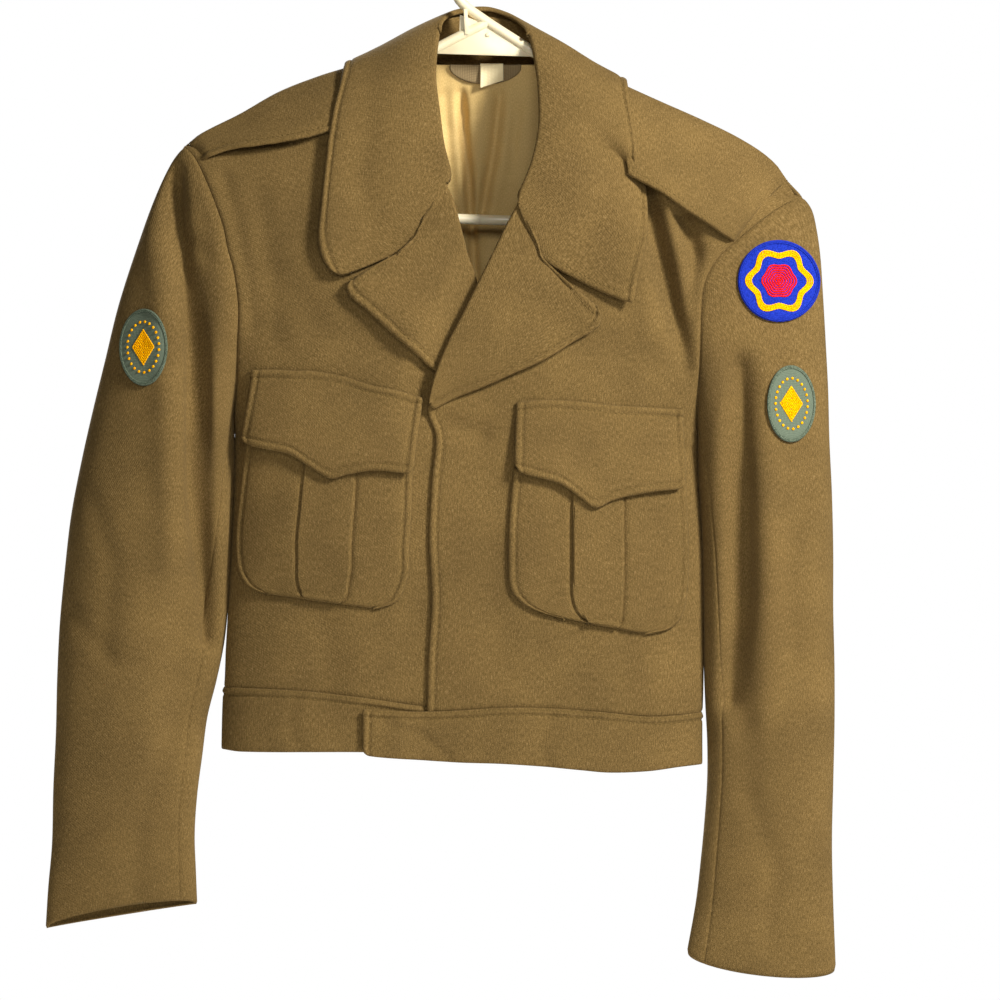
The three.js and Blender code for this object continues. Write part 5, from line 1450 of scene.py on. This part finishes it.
# Extrudes a circle along points that lie in the hanger's own plane.
def addTube(bm, points, radius, sides=20):
    start = points[0]
    along = (points[1] - points[0]).normalized()
    turn = Matrix(((along.z, 0, along.x, start.x), (0, 1, 0, 0),
                   (-along.x, 0, along.z, start.z), (0, 0, 0, 1)))
    made = bmesh.ops.create_circle(bm, cap_ends=True, radius=radius, segments=sides, matrix=turn)
    ring = made["verts"]
    edges = list({edge for vert in ring for edge in vert.link_edges})
    heading = along
    for k in range(1, len(points)):
        ahead = points[min(len(points) - 1, k + 1)] - points[k - 1]
        ahead.normalize()
        grown = bmesh.ops.extrude_edge_only(bm, edges=edges)["geom"]
        ring = [item for item in grown if isinstance(item, bmesh.types.BMVert)]
        edges = [item for item in grown if isinstance(item, bmesh.types.BMEdge)
                 and all(vert in ring for vert in item.verts)]
        bmesh.ops.translate(bm, verts=ring, vec=points[k] - points[k - 1])
        swing = heading.rotation_difference(ahead)
        bmesh.ops.rotate(bm, verts=ring, cent=points[k], matrix=swing.to_matrix())
        heading = ahead
    bmesh.ops.contextual_create(bm, geom=edges)


bm = bmesh.new()
hookPath = []
reach = hanger["hookRadius"] + hanger["tube"]
for k in range(9):
    turn = mix(-0.55, math.pi + 0.25, k / 8)
    hookPath.append(Vector((-reach * math.cos(turn), 0, reach * math.sin(turn) - hanger["hookRadius"])))
hookPath.reverse()
apex = hangerPoint(0, 0)
shank = [Vector((-20, 0, -36)), Vector((-17, 0, -62)), Vector((-12, 0, -79))]
rightArm = [hangerPoint(dx, drop) for dx, drop in armRows]
leftArm = [hangerPoint(-dx, drop) for dx, drop in armRows]
addTube(bm, smoothPath(hookPath + shank + [apex] + rightArm, 5), hanger["tube"])
addTube(bm, smoothPath([hangerPoint(1.7, 1.3)] + leftArm, 5), hanger["tube"])
plateCorners = [(-42, 24), (-20, 9), (-20, -4), (2, 3), (44, 24), (44, 27), (-42, 27)]
plateFront = Vector((0, -hanger["plate"] / 2, 0))
corners = [bm.verts.new(hangerPoint(dx, drop) + plateFront) for dx, drop in plateCorners]
plateFace = bm.faces.new(corners)
raisedFaces = bmesh.ops.extrude_face_region(bm, geom=[plateFace])["geom"]
bmesh.ops.translate(bm, verts=[v for v in raisedFaces if isinstance(v, bmesh.types.BMVert)],
                    vec=(0, hanger["plate"], 0))
fin = [bm.verts.new(Vector((x, -1.0, z))) for x, z in ((-9, -86), (-6, -86), (-5, -106), (-8, -106))]
finFace = bm.faces.new(fin)
finGrown = bmesh.ops.extrude_face_region(bm, geom=[finFace])["geom"]
bmesh.ops.translate(bm, verts=[v for v in finGrown if isinstance(v, bmesh.types.BMVert)], vec=(0, -3.6, 0))
bmesh.ops.create_cone(bm, cap_ends=True, segments=20, radius1=1.9, radius2=1.5, depth=1.2,
                      matrix=Matrix.Translation((10, -hanger["plate"] / 2 - 0.5, -106))
                      @ Matrix.Rotation(math.radians(90), 4, "X"))
for face in bm.faces:
    face.smooth = True
bmesh.ops.recalc_face_normals(bm, faces=bm.faces)
bmesh.ops.scale(bm, vec=(mm, mm, mm), verts=bm.verts)
mesh = bpy.data.meshes.new("hangerMoulding")
bm.to_mesh(mesh)
bm.free()
mesh.materials.append(finishes["plastic"])
hangerPiece = bpy.data.objects.new("hangerMoulding", mesh)
bpy.context.scene.collection.objects.link(hangerPiece)
softEdge = hangerPiece.modifiers.new("softEdges", "BEVEL")
softEdge.width = 0.0006
softEdge.segments = 2
softEdge.limit_method = "ANGLE"
softEdge.angle_limit = math.radians(50)
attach(hangerPiece, "root")
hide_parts("hanger")
print("hanger ready")

# Studio: pale floor, light from the upper right
studio = {
    "floorZ": -1.15, "floorRadius": 2.0, "ambient": 0.12,
    "lamps": {
        "key": {"place": (1.4, -1.3, 0.7), "aim": (0, 0, -0.5), "size": 0.42, "power": 84},
        "fill": {"place": (0.1, -2.4, 0.45), "aim": (0.05, 0, -0.6), "size": 0.6, "power": 13},
        "rear": {"place": (-0.9, 2.2, 0.9), "aim": (0, 0, -0.45), "size": 1.2, "power": 75},
    },
}
bm = bmesh.new()
bmesh.ops.create_circle(bm, cap_ends=True, radius=studio["floorRadius"], segments=64,
                        matrix=Matrix.Translation((0, 0, studio["floorZ"])))
floorMesh = bpy.data.meshes.new("paperFloor")
bm.to_mesh(floorMesh)
bm.free()
# Studio paper: matt, off-white, with a faint tooth
paper, paperTree, paperShader = newMaterial("paleStudioPaper", {"Roughness": 0.9})
paperCoords = addNode(paperTree, "ShaderNodeTexCoord")
grain = addNode(paperTree, "ShaderNodeTexNoise", {"Scale": 40.0}, {"Vector": paperCoords.outputs["Object"]})
paperTone = addNode(paperTree, "ShaderNodeValToRGB", {}, {"Fac": grain.outputs["Fac"]},
                    [(0.3, "#f6f5f2"), (0.7, "#fbfaf8")])
paperTree.links.new(paperTone.outputs["Color"], paperShader.inputs["Base Color"])
floorMesh.materials.append(paper)
floor = bpy.data.objects.new("paperFloor", floorMesh)
bpy.context.scene.collection.objects.link(floor)

for lampName, lamp in studio["lamps"].items():
    data = bpy.data.lights.new(lampName, "AREA")
    data.size = lamp["size"]
    data.energy = lamp["power"]
    light = bpy.data.objects.new(lampName, data)
    light.location = lamp["place"]
    aim = Vector(lamp["aim"]) - Vector(lamp["place"])
    light.rotation_euler = aim.to_track_quat("-Z", "Y").to_euler()
    bpy.context.scene.collection.objects.link(light)
# The world is plain white where it is seen and a soft, weaker light on the object
world = bpy.data.worlds.new("softWhite")
world.use_nodes = True
air = world.node_tree
air.nodes.clear()
soft = addNode(air, "ShaderNodeBackground", {"Color": (1, 1, 1, 1), "Strength": studio["ambient"]})
seen = addNode(air, "ShaderNodeBackground", {"Color": (1, 1, 1, 1), "Strength": 1.0})
rays = addNode(air, "ShaderNodeLightPath")
both = addNode(air, "ShaderNodeMixShader", {}, {
    0: rays.outputs["Is Camera Ray"], 1: soft.outputs["Background"], 2: seen.outputs["Background"]})
addNode(air, "ShaderNodeOutputWorld", {}, {"Surface": both.outputs["Shader"]})
bpy.context.scene.world = world
print("studio ready")
